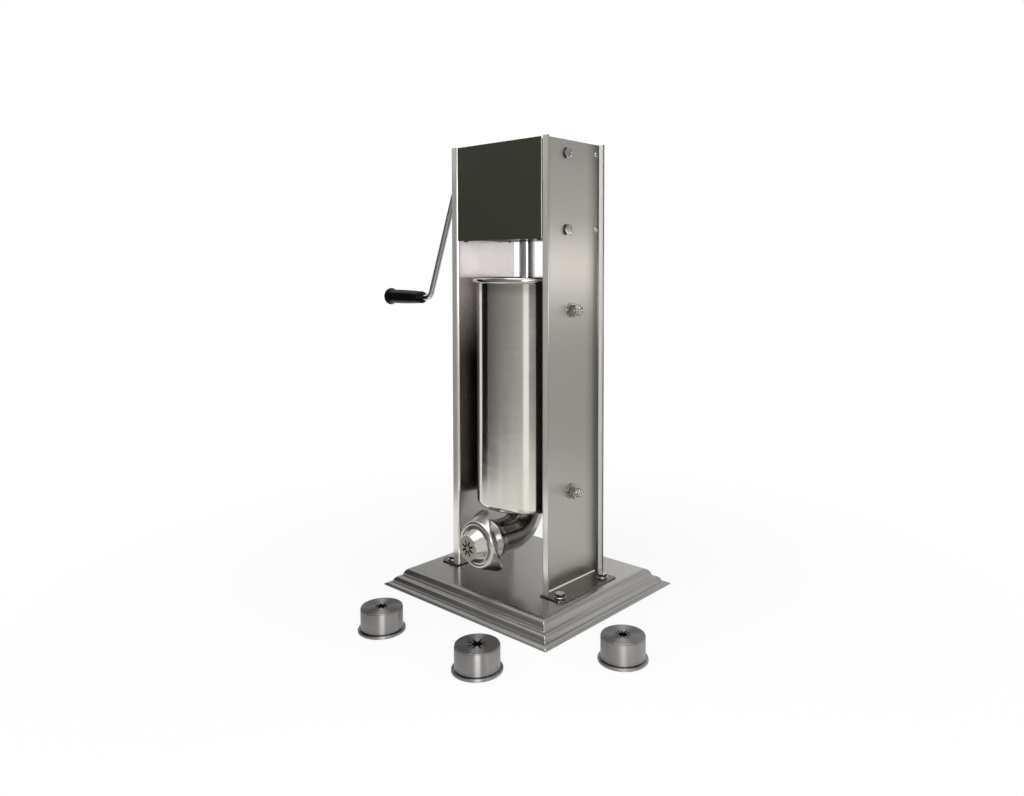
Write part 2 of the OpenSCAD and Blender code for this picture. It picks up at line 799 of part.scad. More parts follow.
module grip() {
  flare = 12;
  bore = arm_r + run_fit;
  color(black) crank_plane() translate([grip_x, 0, grip_z]) along_x() rotate_extrude() polygon(concat(
    [[bore, 0], [grip_neck_d / 2 - 1, 0], [grip_neck_d / 2, 1],
      [grip_neck_d / 2 + 2, grip_len - flare]],
    arc([grip_end_d / 2 - 4, grip_len - 5], 4, 0, 90, 6),
    [[0, grip_len], [0, grip_len - grip_floor], [bore, grip_len - grip_floor]]));
}

// Gear train
module gear_shaft() {
  color(polished) translate([-plate_in + pass_gap, gear_y, shaft_z]) along_x()
    cylinder(r = shaft_r, h = 2 * (plate_in - pass_gap));
}

module drive_gear() {
  color(cast) gear(gear_m, gear_z, 180, gear_y, gear_mid_x - gear_w / 2, gear_mid_x + gear_w / 2);
}

module rack_pinion() {
  color(cast) gear(rack_m, rack_z, 180, gear_y, -rack_pinion_w / 2, rack_pinion_w / 2);
}

// Space between the rack's teeth, as one outline in the y-z plane
function rack_gaps() = let (
  tip = rack_pitch / 4 + backlash / 2 + rack_m * tan(press_a),
  root = rack_pitch / 4 + backlash / 2 - 1.25 * rack_m * tan(press_a),
  root_y = rack_line_y - 1.25 * rack_m,
  teeth = [for (i = [-rack_below : rack_ends]) let (z = shaft_z + i * rack_pitch) each
    [[rack_tip_y, z - tip], [root_y, z - root], [root_y, z + root], [rack_tip_y, z + tip]]])
  concat([[rod_r + over, teeth[0][1]]], teeth, [[rod_r + over, teeth[len(teeth) - 1][1]]]);

module rack_rod() {
  nut_run = plunger_nut_h + plunger_t + plunger_hub_h;
  color(polished) difference() {
    union() {
      translate([0, 0, hub_z + seat_fit]) cylinder(r = rod_r, h = rod_top - hub_z - seat_fit);
      translate([0, 0, hub_z - nut_run]) cylinder(d = spigot_d, h = nut_run + over);
    }
    slab_x(-rod_r - over, rod_r + over) polygon(rack_gaps());
  }
}

module plunger() {
  disc_r = bore_r - plunger_gap;
  color(polished) rotate_extrude() difference() {
    union() {
      translate([0, plunger_z]) square([disc_r, plunger_t]);
      translate([0, plunger_z]) square([plunger_hub_d / 2, plunger_t + plunger_hub_h]);
    }
    translate([0, plunger_z - over]) square([spigot_d / 2 + seat_fit, 2 * plunger_t + plunger_hub_h]);
    translate([disc_r - seal_depth, seal_z]) square([seal_depth + over, seal_h]);
  }
}

module plunger_seal() {
  disc_r = bore_r - plunger_gap;
  color(rubber) translate([0, 0, seal_z + seat_fit]) difference() {
    cylinder(r = bore_r - run_fit, h = seal_h - 2 * seat_fit);
    translate([0, 0, -over]) cylinder(r = disc_r - seal_depth + seat_fit, h = seal_h + 2 * over);
  }
}

module plunger_nut() {
  color(polished) translate([0, 0, plunger_z - plunger_nut_h])
    hex_nut([spigot_d, spigot_nut_d, plunger_nut_h], spigot_d + 2 * seat_fit);
}

// Dies and wing nut
module fitted_die() {
  body_r = die_d / 2;
  face_r = die_face_d / 2;
  cone_r = die_cone_d / 2;
  step_z = die_flange_t + nut_lip / 2;
  inner_r = outlet_r - die_edge;
  color(polished) outlet_axis() translate([0, 0, flange_s]) difference() {
    rotate_extrude() polygon(concat(
      [[inner_r, 0], [die_flange_d / 2, 0], [die_flange_d / 2, die_flange_t], [body_r, die_flange_t],
        [body_r, step_z], [cone_r, step_z]],
      arc([face_r - die_edge, die_flange_t + die_reach - die_edge], die_edge, 20, 90, 4),
      [[0, die_flange_t + die_reach], [0, die_flange_t + die_reach - die_wall],
        [face_r - die_wall, die_flange_t + die_reach - die_wall]]));
    linear_extrude(die_flange_t + die_reach + over) difference() {
      star(fitted_star);
      circle(fitted_star[3]);
    }
  }
}

// Section of the nut's bell, as radius and distance forward, with the wings' flare behind the ring
function wing_section() = let (
  run = wing_back - ring_edge,
  curve = [for (i = [0 : wing_steps]) let (t = i / wing_steps)
    [ring_r + (wing_r - ring_r) * pow(t, wing_flare), nut_front_s - ring_edge - run * t]])
  concat([[nut_hole_r, nut_front_s]],
    arc([ring_r - ring_edge, nut_front_s - ring_edge], ring_edge, 90, 0, 6), curve,
    reversed([for (p = curve) [p[0] - wing_t, p[1]]]), [[nut_hole_r, nut_front_s - ring_edge]]);

// Outline of the nut seen from above, from the ring to the round tips of the wings
function wing_outline() = let (
  tip = wing_tip / 2,
  wide = ring_r + over,
  start = nut_front_s - ring_w,
  run = wing_back - ring_w - wing_round,
  side = [for (i = [0 : wing_steps]) let (t = i / wing_steps)
    [tip + (wide - tip) * pow(1 - t, wing_taper), start - run * t]])
  concat([[wide, nut_front_s + over]], side,
    [for (p = arc([0, 0], 1, -15, -165, 10)) [tip * p[0], start - run + wing_round * p[1]]],
    reversed([for (p = side) [-p[0], p[1]]]), [[-wide, nut_front_s + over]]);

module wing_nut() {
  color(polished) outlet_axis() rotate([0, 0, wing_turn]) difference() {
    union() {
      intersection() {
        rotate_extrude() polygon(wing_section());
        rotate([90, 0, 0]) translate([0, 0, -wing_r - over]) linear_extrude(2 * wing_r + 2 * over)
          polygon(wing_outline());
      }
      translate([0, 0, nut_back_s]) cylinder(r = nut_r, h = nut_w - nut_lip);
    }
    translate([0, 0, nut_front_s - wing_back - over])
      cylinder(r = nut_bore_r, h = wing_back + over - nut_lip);
    translate([0, 0, nut_front_s - nut_lip - over]) cylinder(r = nut_hole_r, h = nut_lip + 2 * over);
  }
}

// A loose die, standing on its flange
module loose_die(i) {
  body_r = die_d / 2;
  inner_r = body_r - die_wall;
  color(steel) translate([die_spots[i][0], die_spots[i][1], 0]) difference() {
    rotate_extrude() polygon(concat(
      [[inner_r, 0], [die_flange_d / 2, 0], [die_flange_d / 2, die_flange_t], [body_r, die_flange_t]],
      arc([body_r - die_edge, die_h - die_edge], die_edge, 0, 90, 4),
      [[0, die_h], [0, die_h - die_wall], [inner_r, die_h - die_wall]]));
    linear_extrude(die_h + over) star(die_stars[i]);
  }
}

module eight_lobe_die() { loose_die(0); }

module eight_arm_die() { loose_die(1); }

module twelve_arm_die() { loose_die(2); }

base();
left_side_plate();
right_side_plate();
foot_bolts();
foot_nuts();
gearbox_floor();
front_cover();
rear_cover();
top_cover();
cover_screws();
floor_screws();
rear_cover_screws();
top_screws();
left_bearing_block();
right_bearing_block();
block_bolts();
crank_bushes();
gear_bushes();
rod_guide();
dough_cylinder();  // cylinder
cylinder_studs();
stud_washers();
stud_nuts();
elbow();
outlet_ferrule();
crank_shaft();
crank_pinion();
crank_hub();
crank_arm();
hub_screws();
grip();
gear_shaft();
drive_gear();
rack_pinion();
rack_rod();
plunger();
plunger_seal();
plunger_nut();
fitted_die();
wing_nut();
eight_lobe_die();
eight_arm_die();
twelve_arm_die();
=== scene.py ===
import math

import bmesh
import bpy
from mathutils import Matrix, Vector


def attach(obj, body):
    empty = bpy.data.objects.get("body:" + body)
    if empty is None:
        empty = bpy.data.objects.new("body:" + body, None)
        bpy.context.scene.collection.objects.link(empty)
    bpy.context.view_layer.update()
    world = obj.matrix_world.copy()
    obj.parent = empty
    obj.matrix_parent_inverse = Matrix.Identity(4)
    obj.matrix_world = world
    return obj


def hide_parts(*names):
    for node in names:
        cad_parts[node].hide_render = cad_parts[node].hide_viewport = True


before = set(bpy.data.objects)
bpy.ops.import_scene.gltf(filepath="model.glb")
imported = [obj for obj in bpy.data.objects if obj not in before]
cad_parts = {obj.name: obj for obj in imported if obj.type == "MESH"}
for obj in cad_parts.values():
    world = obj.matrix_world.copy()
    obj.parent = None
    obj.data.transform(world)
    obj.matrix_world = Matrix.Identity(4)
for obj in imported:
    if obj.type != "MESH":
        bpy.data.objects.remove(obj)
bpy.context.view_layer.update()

MM = 0.001
TAU = 2 * math.pi

# Sizes in millimetres, most of them shared with the solids
BASE_W, BASE_D, BASE_H, BASE_T, BASE_LIP, MITRE_R = 341.0, 302.0, 26.0, 2.0, 10.0, 1.4
PLATE_IN, PLATE_T = 88.0, 2.0
PLATE_OUT = PLATE_IN + PLATE_T
PLATE_HALF_Y, FOLD_R, FLANGE_W, COLUMN_TOP = 65.5, 4.0, 13.3, 690.0
TAB_OUT, TAB_FRONT, TAB_REAR, TAB_CUT = 130.0, -69.0, 59.0, 8.0
TAB_TOP = BASE_H + PLATE_T
BEND_R, BEND_FRONT, BEND_REAR = 1.7, -59.0, 57.0
CYL_R, CYL_T, CYL_Z, CYL_H = 79.0, 1.5, 134.0, 353.5
CYL_EDGE, RIM_BEAD = 9.0, 9.0
OUTLET_Z, OUTLET_R, ELBOW_OUT, ELBOW_BEND = 92.0, 24.5, 26.5, 42.0
COLLAR_S, THREAD_S, FERRULE_END, FLANGE_S = 76.5, 87.5, 106.5, 106.6
THREAD_R, COLLAR_R = 33.1, 30.4
DIE_R, DIE_FLANGE_R, DIE_FLANGE_T, DIE_H, DIE_WALL = 29.0, 32.7, 3.4, 33.0, 3.0
DIE_CONE_R, DIE_FACE_R, DIE_REACH = 26.0, 18.25, 19.5
NUT_FRONT_S, NUT_LIP, NUT_LEN, NUT_WALL, WING_TURN = 113.1, 3.4, 32.0, 4.2, 20.0
NUT_RING_R, NUT_WING_R, NUT_BORE_R = 35.3, 46.5, THREAD_R + 0.3
SHAFT_Z, CRANK_Y, SHAFT_R = 627.0, -22.0, 8.0
ARM_X, ARM_R, ARM_BEND, ARM_LEAN, ARM_START_X = 141.3, 5.0, 14.0, 19.8, 118.8
GRIP_Z, GRIP_LEN, GRIP_BARE = 451.0, 92.0, 10.0

# Loose dies: their bodies and places on the floor
DIE_BODIES = {
    "eight_lobe_die": "loose_die_left", "eight_arm_die": "loose_die_front",
    "twelve_arm_die": "loose_die_right"}
DIE_SPOTS = {"eight_lobe_die": (-45, -250), "eight_arm_die": (135, -240), "twelve_arm_die": (257, -99)}

# Stars of the dies: number of arms, their reach and width, and the radius of the core
DIE_STARS = {
    "eight_lobe_die": (8, 8.8, 2.9, 5), "eight_arm_die": (8, 12.9, 2.3, 6),
    "twelve_arm_die": (12, 10.6, 1.8, 5.4), "fitted_die": (8, 12, 2.5, 0)}

# Places of the fasteners
STUD_Z = (166.0, 438.5)
FOOT_BOLT_X, FOOT_BOLT_Y = (-114.0, 114.0), (-55.0, 45.0)
BLOCK_BOLT_Y, BLOCK_BOLT_Z = -12.0, (558.0, 670.0)
REAR_SCREW_Y, REAR_SCREW_Z = 58.0, (560.0, 674.0)
SCREW_X, SCREW_FRONT_Y, SCREW_REAR_Y = 76.0, -58.0, 41.5
COVER_LOW_Z, FLOOR_LOW_Z, TOP_COVER_Z = 544.0, 545.5, 686.6

# Camera solved from the photograph
AZIMUTH = math.radians(41.24)
ELEVATION = math.radians(2.43)
CAMERA_AT = Vector((0.84109, -0.91659, 0.50151))
LENS, SHIFT_X, SHIFT_Y = 27.965, -0.0324, -0.0939


def add_camera():
    data = bpy.data.cameras.new("camera")
    data.sensor_width = 36.0
    data.lens = LENS
    data.shift_x = SHIFT_X
    data.shift_y = SHIFT_Y
    data.clip_end = 50.0
    right = Vector((math.cos(AZIMUTH), math.sin(AZIMUTH), 0.0))
    back = Vector((math.sin(AZIMUTH) * math.cos(ELEVATION), -math.cos(AZIMUTH) * math.cos(ELEVATION),
                   math.sin(ELEVATION)))
    up = back.cross(right)
    turn = Matrix((right, up, back)).transposed().to_4x4()
    cam = bpy.data.objects.new("camera", data)
    cam.matrix_world = Matrix.Translation(CAMERA_AT) @ turn
    bpy.context.scene.collection.objects.link(cam)
    bpy.context.scene.camera = cam


# Places: local millimetres to metres in the shared frame
def place(x=0.0, y=0.0, z=0.0, turn=None):
    m = Matrix.Translation((x * MM, y * MM, z * MM))
    if turn is not None:
        m = m @ turn
    return m @ Matrix.Scale(MM, 4)


FORWARD = Matrix.Rotation(math.radians(90), 4, "X")
TO_RIGHT = Matrix.Rotation(math.radians(90), 4, "Y")
TO_LEFT = Matrix.Rotation(math.radians(-90), 4, "Y")
SIDES = ((1, TO_RIGHT), (-1, TO_LEFT))
OUTLET = place(0, 0, OUTLET_Z, FORWARD)


# Meshes
def merge(parts):
    verts, faces = [], []
    for v, f in parts:
        n = len(verts)
        verts += v
        faces += [[i + n for i in face] for face in f]
    return verts, faces


def put(part, matrix):
    return [matrix @ Vector(v) for v in part[0]], part[1]


def arc(cx, cy, r, a0, a1, n):
    """Points on a circle between two angles in degrees, in n steps."""
    out = []
    for i in range(n + 1):
        a = math.radians(a0 + (a1 - a0) * i / n)
        out.append((cx + r * math.cos(a), cy + r * math.sin(a)))
    return out


def skin(rows, n):
    """Faces between rows of n points each, one row after the other."""
    return [[i * n + k, i * n + (k + 1) % n, (i + 1) * n + (k + 1) % n, (i + 1) * n + k]
            for i in range(rows - 1) for k in range(n)]


def caps(rows, n):
    """The faces that close such rows at both ends."""
    return [list(range(n))[::-1], [(rows - 1) * n + k for k in range(n)]]


def lathe(profile, n, wave=None):
    """Turns a closed outline of radius and height round z; wave shifts a radius by height and angle."""
    verts, faces, rings = [], [], []
    for r, h in profile:
        if r < 1e-6:
            rings.append([len(verts)] * n)
            verts.append((0.0, 0.0, h))
            continue
        ring = []
        for k in range(n):
            a = TAU * k / n
            rr = wave(r, h, a) if wave else r
            ring.append(len(verts))
            verts.append((rr * math.cos(a), rr * math.sin(a), h))
        rings.append(ring)
    for a, b in zip(rings, rings[1:] + rings[:1]):
        if a is b or (a[0] == a[1] and b[0] == b[1]):
            continue
        for k in range(n):
            j = (k + 1) % n
            quad = [a[k], a[j], b[j], b[k]]
            face = [v for i, v in enumerate(quad) if v not in quad[:i]]
            if len(face) > 2:
                faces.append(face)
    return verts, faces


def tube(path, radius, n, normal=Vector((0, 1, 0))):
    """A round bar along points that lie in one plane."""
    verts = []
    pts = [Vector(p) for p in path]
    for i, p in enumerate(pts):
        d = (pts[min(i + 1, len(pts) - 1)] - pts[max(i - 1, 0)]).normalized()
        side = normal.cross(d).normalized()
        for k in range(n):
            a = TAU * k / n
            verts.append(p + side * (radius * math.cos(a)) + normal * (radius * math.sin(a)))
    return verts, skin(len(pts), n) + caps(len(pts), n)


def hex_head(corners, height, hole=0.0, dish=0.0, both=False):
    """A six-sided head or nut with chamfered corners; both chamfers the underside too."""
    n, bevel = 96, 0.8
    apothem = corners / 2 * math.cos(math.radians(30))
    cut = 0.96 * apothem
    slope = math.tan(math.radians(28))

    def side(a):
        b = (math.degrees(a) + 30) % 60 - 30
        return apothem / math.cos(math.radians(b))

    def ring(radius, z):
        return [(radius(TAU * k / n), z(TAU * k / n)) for k in range(n)]

    rows = []
    if both:
        rows.append(ring(lambda a: cut, lambda a: 0.0))
        rows.append(ring(side, lambda a: (side(a) - cut) * slope))
    else:
        rows.append(ring(side, lambda a: 0.0))
    rows.append(ring(side, lambda a: height - (side(a) - cut) * slope))
    rows.append(ring(lambda a: cut, lambda a: height))
    if hole:
        rows.append(ring(lambda a: hole + bevel, lambda a: height))
        rows.append(ring(lambda a: hole, lambda a: height - bevel))
        rows.append(ring(lambda a: hole, lambda a: 0.0))
    elif dish:
        rows.append(ring(lambda a: cut * 0.86, lambda a: height))
        rows.append(ring(lambda a: cut * 0.8, lambda a: height - dish))
    verts = []
    for row in rows:
        for k, (r, z) in enumerate(row):
            a = TAU * k / n
            verts.append((r * math.cos(a), r * math.sin(a), z))
    faces = skin(len(rows), n)
    if hole:
        last = (len(rows) - 1) * n
        faces += [[last + k, last + (k + 1) % n, (k + 1) % n, k] for k in range(n)]
    else:
        faces += caps(len(rows), n)
    return verts, faces


def pan_head(width, height):
    """A low round screw head with a short neck that goes into its hole."""
    r = width / 2
    angles = [math.radians(5 + 80 * i / 8) for i in range(9)]
    dome = [(r * math.cos(t), height * math.sin(t)) for t in angles]
    return lathe([(0, -1.0), (r * 0.5, -1.0), (r * 0.5, 0), (r, 0)] + dome + [(0, height)], 40)


def prism(outline, low, high):
    n = len(outline)
    verts = [(x, y, low) for x, y in outline] + [(x, y, high) for x, y in outline]
    return verts, skin(2, n) + caps(2, n)


def tip_over(part):
    """Swaps y and z."""
    return [(x, z, y) for x, y, z in part[0]], part[1]


def mesh_object(name, part):
    me = bpy.data.meshes.new(name)
    me.from_pydata([tuple(v) for v in part[0]], [], part[1])
    me.update()
    ob = bpy.data.objects.new(name, me)
    bpy.context.scene.collection.objects.link(ob)
    bm = bmesh.new()
    bm.from_mesh(me)
    bmesh.ops.remove_doubles(bm, verts=bm.verts, dist=1e-7)
    bmesh.ops.recalc_face_normals(bm, faces=bm.faces)
    bm.to_mesh(me)
    bm.free()
    return ob


def bake(ob):
    """Applies the object's modifiers to its mesh."""
    deps = bpy.context.evaluated_depsgraph_get()
    me = bpy.data.meshes.new_from_object(ob.evaluated_get(deps))
    ob.modifiers.clear()
    ob.data = me
    return ob


def soften(ob, width, segments=2, angle=30):
    mod = ob.modifiers.new("edge", "BEVEL")
    mod.width = width * MM
    mod.segments = segments
    mod.limit_method = "ANGLE"
    mod.angle_limit = math.radians(angle)
    mod.use_clamp_overlap = False
    return bake(ob)


def carve(ob, *cutters):
    """Cuts the cutter objects out of the object and deletes them."""
    for cutter in cutters:
        mod = ob.modifiers.new("cut", "BOOLEAN")
        mod.operation = "DIFFERENCE"
        mod.solver = "EXACT"
        mod.material_mode = "TRANSFER"
        mod.object = cutter
        bake(ob)
        bpy.data.objects.remove(cutter)
    return ob


def node_copy(node, name):
    ob = bpy.data.objects.new(name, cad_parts[node].data.copy())
    ob.data.materials.clear()
    bpy.context.scene.collection.objects.link(ob)
    bm = bmesh.new()
    bm.from_mesh(ob.data)
    bmesh.ops.remove_doubles(bm, verts=bm.verts, dist=1e-6)
    bmesh.ops.dissolve_limit(bm, angle_limit=math.radians(0.5), verts=bm.verts, edges=bm.edges)
    bm.to_mesh(ob.data)
    bm.free()
    return ob


def use(ob, *mats):
    for mat in mats:
        ob.data.materials.append(mat)


def dress(ob, material, body, nodes=(), angle=35, flat_from=None):
    """Finishes a piece, with the material where it has none yet.

    Faces larger than flat_from, in square millimetres, are shaded flat.
    """
    if not ob.data.materials:
        use(ob, material)
    ob.data.shade_smooth()
    ob.data.set_sharp_from_angle(angle=math.radians(angle))
    if flat_from:
        for face in ob.data.polygons:
            face.use_smooth = face.area < flat_from * MM * MM
    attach(ob, body)
    if nodes:
        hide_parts(*nodes)
    return ob


def paint(ob, pick):
    """Gives each face the material that pick returns for it; None leaves it as it is."""
    for face in ob.data.polygons:
        mat = pick(face)
        if mat:
            face.material_index = ob.data.materials.find(mat.name)


def flat_faces(ob, mat):
    """Shades the faces of one material flat, so that a cut in them leaves no folds in the shading."""
    index = ob.data.materials.find(mat.name)
    for face in ob.data.polygons:
        if face.material_index == index:
            face.use_smooth = False


# Materials
def shader(name):
    mat = bpy.data.materials.new(name)
    mat.use_nodes = True
    tree = mat.node_tree
    return mat, tree, tree.nodes["Principled BSDF"]


def noise(tree, scale, size, detail, rough):
    coords = tree.nodes.new("ShaderNodeTexCoord")
    mapping = tree.nodes.new("ShaderNodeMapping")
    mapping.inputs["Scale"].default_value = scale
    tree.links.new(coords.outputs["Object"], mapping.inputs["Vector"])
    tex = tree.nodes.new("ShaderNodeTexNoise")
    tex.inputs["Scale"].default_value = size
    tex.inputs["Detail"].default_value = detail
    tex.inputs["Roughness"].default_value = rough
    tree.links.new(mapping.outputs["Vector"], tex.inputs["Vector"])
    return tex.outputs["Fac"]


def spread(tree, value, low, high, start=0.3, end=0.7):
    node = tree.nodes.new("ShaderNodeMapRange")
    node.inputs["From Min"].default_value = start
    node.inputs["From Max"].default_value = end
    node.inputs["To Min"].default_value = low
    node.inputs["To Max"].default_value = high
    tree.links.new(value, node.inputs["Value"])
    return node.outputs["Result"]


def math_node(tree, kind, a, b):
    node = tree.nodes.new("ShaderNodeMath")
    node.operation = kind
    for i, v in enumerate((a, b)):
        if isinstance(v, float):
            node.inputs[i].default_value = v
        else:
            tree.links.new(v, node.inputs[i])
    return node.outputs["Value"]


def two_tone(tree, fac, low, high):
    ramp = tree.nodes.new("ShaderNodeValToRGB")
    ramp.color_ramp.elements[0].position = 0.3
    ramp.color_ramp.elements[1].position = 0.7
    ramp.color_ramp.elements[0].color = (*low, 1)
    ramp.color_ramp.elements[1].color = (*high, 1)
    tree.links.new(fac, ramp.inputs["Fac"])
    return ramp.outputs["Color"]


def graded(tree, value, stops):
    """A grey level that follows a value through the stops."""
    low, high = stops[0][0], stops[-1][0]
    ramp = tree.nodes.new("ShaderNodeValToRGB")
    points = ramp.color_ramp.elements
    for i, (mark, level) in enumerate(stops):
        at = (mark - low) / (high - low)
        point = points[i] if i in (0, 1) else points.new(at)
        point.position = at
        point.color = (level, level, level, 1)
    tree.links.new(spread(tree, value, 0.0, 1.0, low, high), ramp.inputs["Fac"])
    return ramp.outputs["Color"]


def axis_value(tree, axis):
    """An object coordinate; x is taken without its sign, because the part is symmetric."""
    coords = tree.nodes.new("ShaderNodeTexCoord")
    split = tree.nodes.new("ShaderNodeSeparateXYZ")
    tree.links.new(coords.outputs["Object"], split.inputs["Vector"])
    value = split.outputs[axis]
    return math_node(tree, "ABSOLUTE", value, 0.0) if axis == "X" else value


def bump(tree, bsdf, height, strength):
    node = tree.nodes.new("ShaderNodeBump")
    node.inputs["Strength"].default_value = strength
    node.inputs["Distance"].default_value = 0.0002
    tree.links.new(height, node.inputs["Height"])
    tree.links.new(node.outputs["Normal"], bsdf.inputs["Normal"])


def steel(name, colour, rough, grain, stretch=0.0, across=False, tone=0.06, smear=0.06, relief=0.05,
          metal=1.0, dull_above=None, shade=None):
    """Worked steel: grain is the density of its lines along x, y and z, in lines to the metre.

    Between the two heights of dull_above it gets less mirror-like. shade is an axis and stops along
    it, and darkens the steel by place along them: painted shade.
    """
    mat, tree, bsdf = shader(name)
    bsdf.inputs["Metallic"].default_value = metal
    lines = noise(tree, grain, 1.0, 4.0, 0.6)
    cloud = noise(tree, (1, 1, 1), 14.0, 4.0, 0.55)
    low = [c * (1 - tone) for c in colour]
    high = [min(1.0, c * (1 + tone)) for c in colour]
    tint = two_tone(tree, lines, low, high)
    tree.links.new(tint, bsdf.inputs["Base Color"])
    value = math_node(tree, "ADD", spread(tree, lines, rough - 0.04, rough + 0.04),
                      spread(tree, cloud, -smear, smear))
    tree.links.new(math_node(tree, "MAXIMUM", value, 0.03), bsdf.inputs["Roughness"])
    if stretch:
        bsdf.inputs["Anisotropic"].default_value = stretch
        bsdf.inputs["Anisotropic Rotation"].default_value = 0.25 if across else 0.0
        tangent = tree.nodes.new("ShaderNodeTangent")
        tangent.direction_type = "RADIAL"
        tangent.axis = "Z"
        tree.links.new(tangent.outputs["Tangent"], bsdf.inputs["Tangent"])
    if dull_above:
        dull = spread(tree, axis_value(tree, "Z"), metal, metal - 0.4, *dull_above)
        tree.links.new(dull, bsdf.inputs["Metallic"])
    if shade:
        # The shade stops scale the base colour's value by place: painted shade.
        painted_shade = tree.nodes.new("ShaderNodeHueSaturation")
        tree.links.new(tint, painted_shade.inputs["Color"])
        tree.links.new(graded(tree, axis_value(tree, shade[0]), shade[1]), painted_shade.inputs["Value"])
        tree.links.new(painted_shade.outputs["Color"], bsdf.inputs["Base Color"])
    bump(tree, bsdf, lines, relief)
    return mat


def coat(name, colour, rough, speck, specular=0.5, metallic=0.0, relief=0.1):
    """Paint, plastic, rubber or iron: speck is the density of its grain."""
    mat, tree, bsdf = shader(name)
    bsdf.inputs["Metallic"].default_value = metallic
    bsdf.inputs["Specular IOR Level"].default_value = specular
    fine = noise(tree, (1, 1, 1), speck, 3.0, 0.6)
    cloud = noise(tree, (1, 1, 1), 18.0, 3.0, 0.5)
    low = [c * 0.86 for c in colour]
    high = [c * 1.12 for c in colour]
    tree.links.new(two_tone(tree, fine, low, high), bsdf.inputs["Base Color"])
    tree.links.new(math_node(tree, "ADD", spread(tree, fine, rough - 0.03, rough + 0.03),
                             spread(tree, cloud, -0.04, 0.04)), bsdf.inputs["Roughness"])
    bump(tree, bsdf, fine, relief)
    return mat


# Grains: brushed upwards or across, turned round an axis, and even ones
UPWARD, TURNING, ROUND = (5000, 5000, 30), (400, 400, 6000), (20, 20, 5000)
COARSE, EVEN, FINE = (170, 170, 170), (900, 900, 900), (1500, 1500, 1500)

# Painted light by place, in metres: painted shade in the plates' rear corner, painted highlight and shade
# across the rear fold, painted shade low on the plates' inside and under the rim
CORNER_PAINTED_SHADE = ("Y", [(0.034, 1.0), (0.045, 0.82), (0.050, 0.66), (0.055, 0.43), (0.060, 0.35)])
FOLD_PAINTED_LIGHT = ("X", [(0.0905, 0.5), (0.0925, 0.95), (0.096, 1.0), (0.099, 0.75), (0.101, 0.45)])
INSIDE_PAINTED_SHADE = ("Z", [(0.36, 0.5), (0.47, 1.0)])
RIM_PAINTED_SHADE = ("Z", [(0.460, 1.0), (0.470, 0.72), (0.478, 0.66)])

SHEET = steel("sheet_steel", (0.45, 0.43, 0.395), 0.34, UPWARD, stretch=1.0, smear=0.02)
# Plate steel, darker towards the rear corner: painted shade.
PLATE = steel("plate_steel", (0.45, 0.43, 0.395), 0.34, UPWARD, stretch=1.0, smear=0.02,
              shade=CORNER_PAINTED_SHADE)
# Near-white front face of the rear flange, darker towards both its edges: painted highlight and painted
# shade.
REAR_FOLD = steel("rear_fold", (0.96, 0.94, 0.95), 0.30, UPWARD, stretch=0.8, smear=0.02, metal=0.35,
                  shade=FOLD_PAINTED_LIGHT)
CUT_EDGE = steel("cut_edge", (0.90, 0.89, 0.87), 0.30, EVEN, metal=0.3)
# Inside faces of the plates: lighter and less mirror-like towards the top, darker lower down: painted
# shade.
INSIDE = steel("sheet_inside", (0.63, 0.583, 0.578), 0.24, UPWARD, smear=0.02, dull_above=(0.36, 0.47),
               shade=INSIDE_PAINTED_SHADE)
# A lighter, less metallic copy of the sheet steel for the flanges and the foot bend: painted sheen and
# painted highlight.
FLANGE = steel("sheet_flange", (0.80, 0.77, 0.735), 0.30, UPWARD, stretch=0.8, smear=0.02, metal=0.8)
# A dark copy of the sheet steel for the foot tabs: painted shade.
FOOT = steel("sheet_foot", (0.17, 0.165, 0.155), 0.22, (30, 5000, 5000), smear=0.02, relief=0.02)
PRESSED = steel("pressed_base", (0.42, 0.41, 0.387), 0.21, (30, 4500, 4500), smear=0.03, relief=0.015)
MOULDED = steel("moulded_edge", (0.36, 0.352, 0.335), 0.34, (4500, 4500, 4500), tone=0.03, smear=0.02,
                relief=0.01)
# Polished steel, darker in a band just under the rolled rim: painted shade.
POLISHED = steel("polished_steel", (0.71, 0.695, 0.63), 0.14, ROUND, stretch=0.9, across=True, smear=0.03,
                 shade=RIM_PAINTED_SHADE)
# A darker copy of the polished steel for the rolled rim: painted shade.
RIM = steel("rolled_rim", (0.50, 0.49, 0.46), 0.16, EVEN, relief=0.02)
# A dark copy of the polished steel for the inside of the cylinder: painted shade.
BORE = steel("cylinder_bore", (0.20, 0.195, 0.185), 0.30, ROUND, smear=0.03)
CAST = steel("cast_steel", (0.58, 0.57, 0.55), 0.18, EVEN, smear=0.06, relief=0.03)
PIPE = steel("pipe_steel", (0.42, 0.408, 0.39), 0.21, (60, 60, 60), tone=0.30, smear=0.08, relief=0.03)
BRIGHT = steel("bright_steel", (0.60, 0.60, 0.595), 0.12, FINE, relief=0.02)
FASTENER = steel("fastener_steel", (0.40, 0.393, 0.38), 0.10, COARSE, tone=0.3, smear=0.02, relief=0.02)
# Dark steel for the sides of the bolt heads and for the grooves of the loose dies: painted shade.
PAINTED_SIDE_SHADE = steel("head_side", (0.11, 0.108, 0.105), 0.14, COARSE, tone=0.3, smear=0.02, relief=0.02)
# A little darker than the bright steel, for the ferrule's thread and the nut's barrel: painted shade.
THREAD = steel("thread_steel", (0.46, 0.452, 0.44), 0.16, FINE, relief=0.02)
TURNED = steel("turned_steel", (0.37, 0.358, 0.35), 0.42, TURNING, stretch=1.0, across=True, smear=0.03,
               relief=0.04)
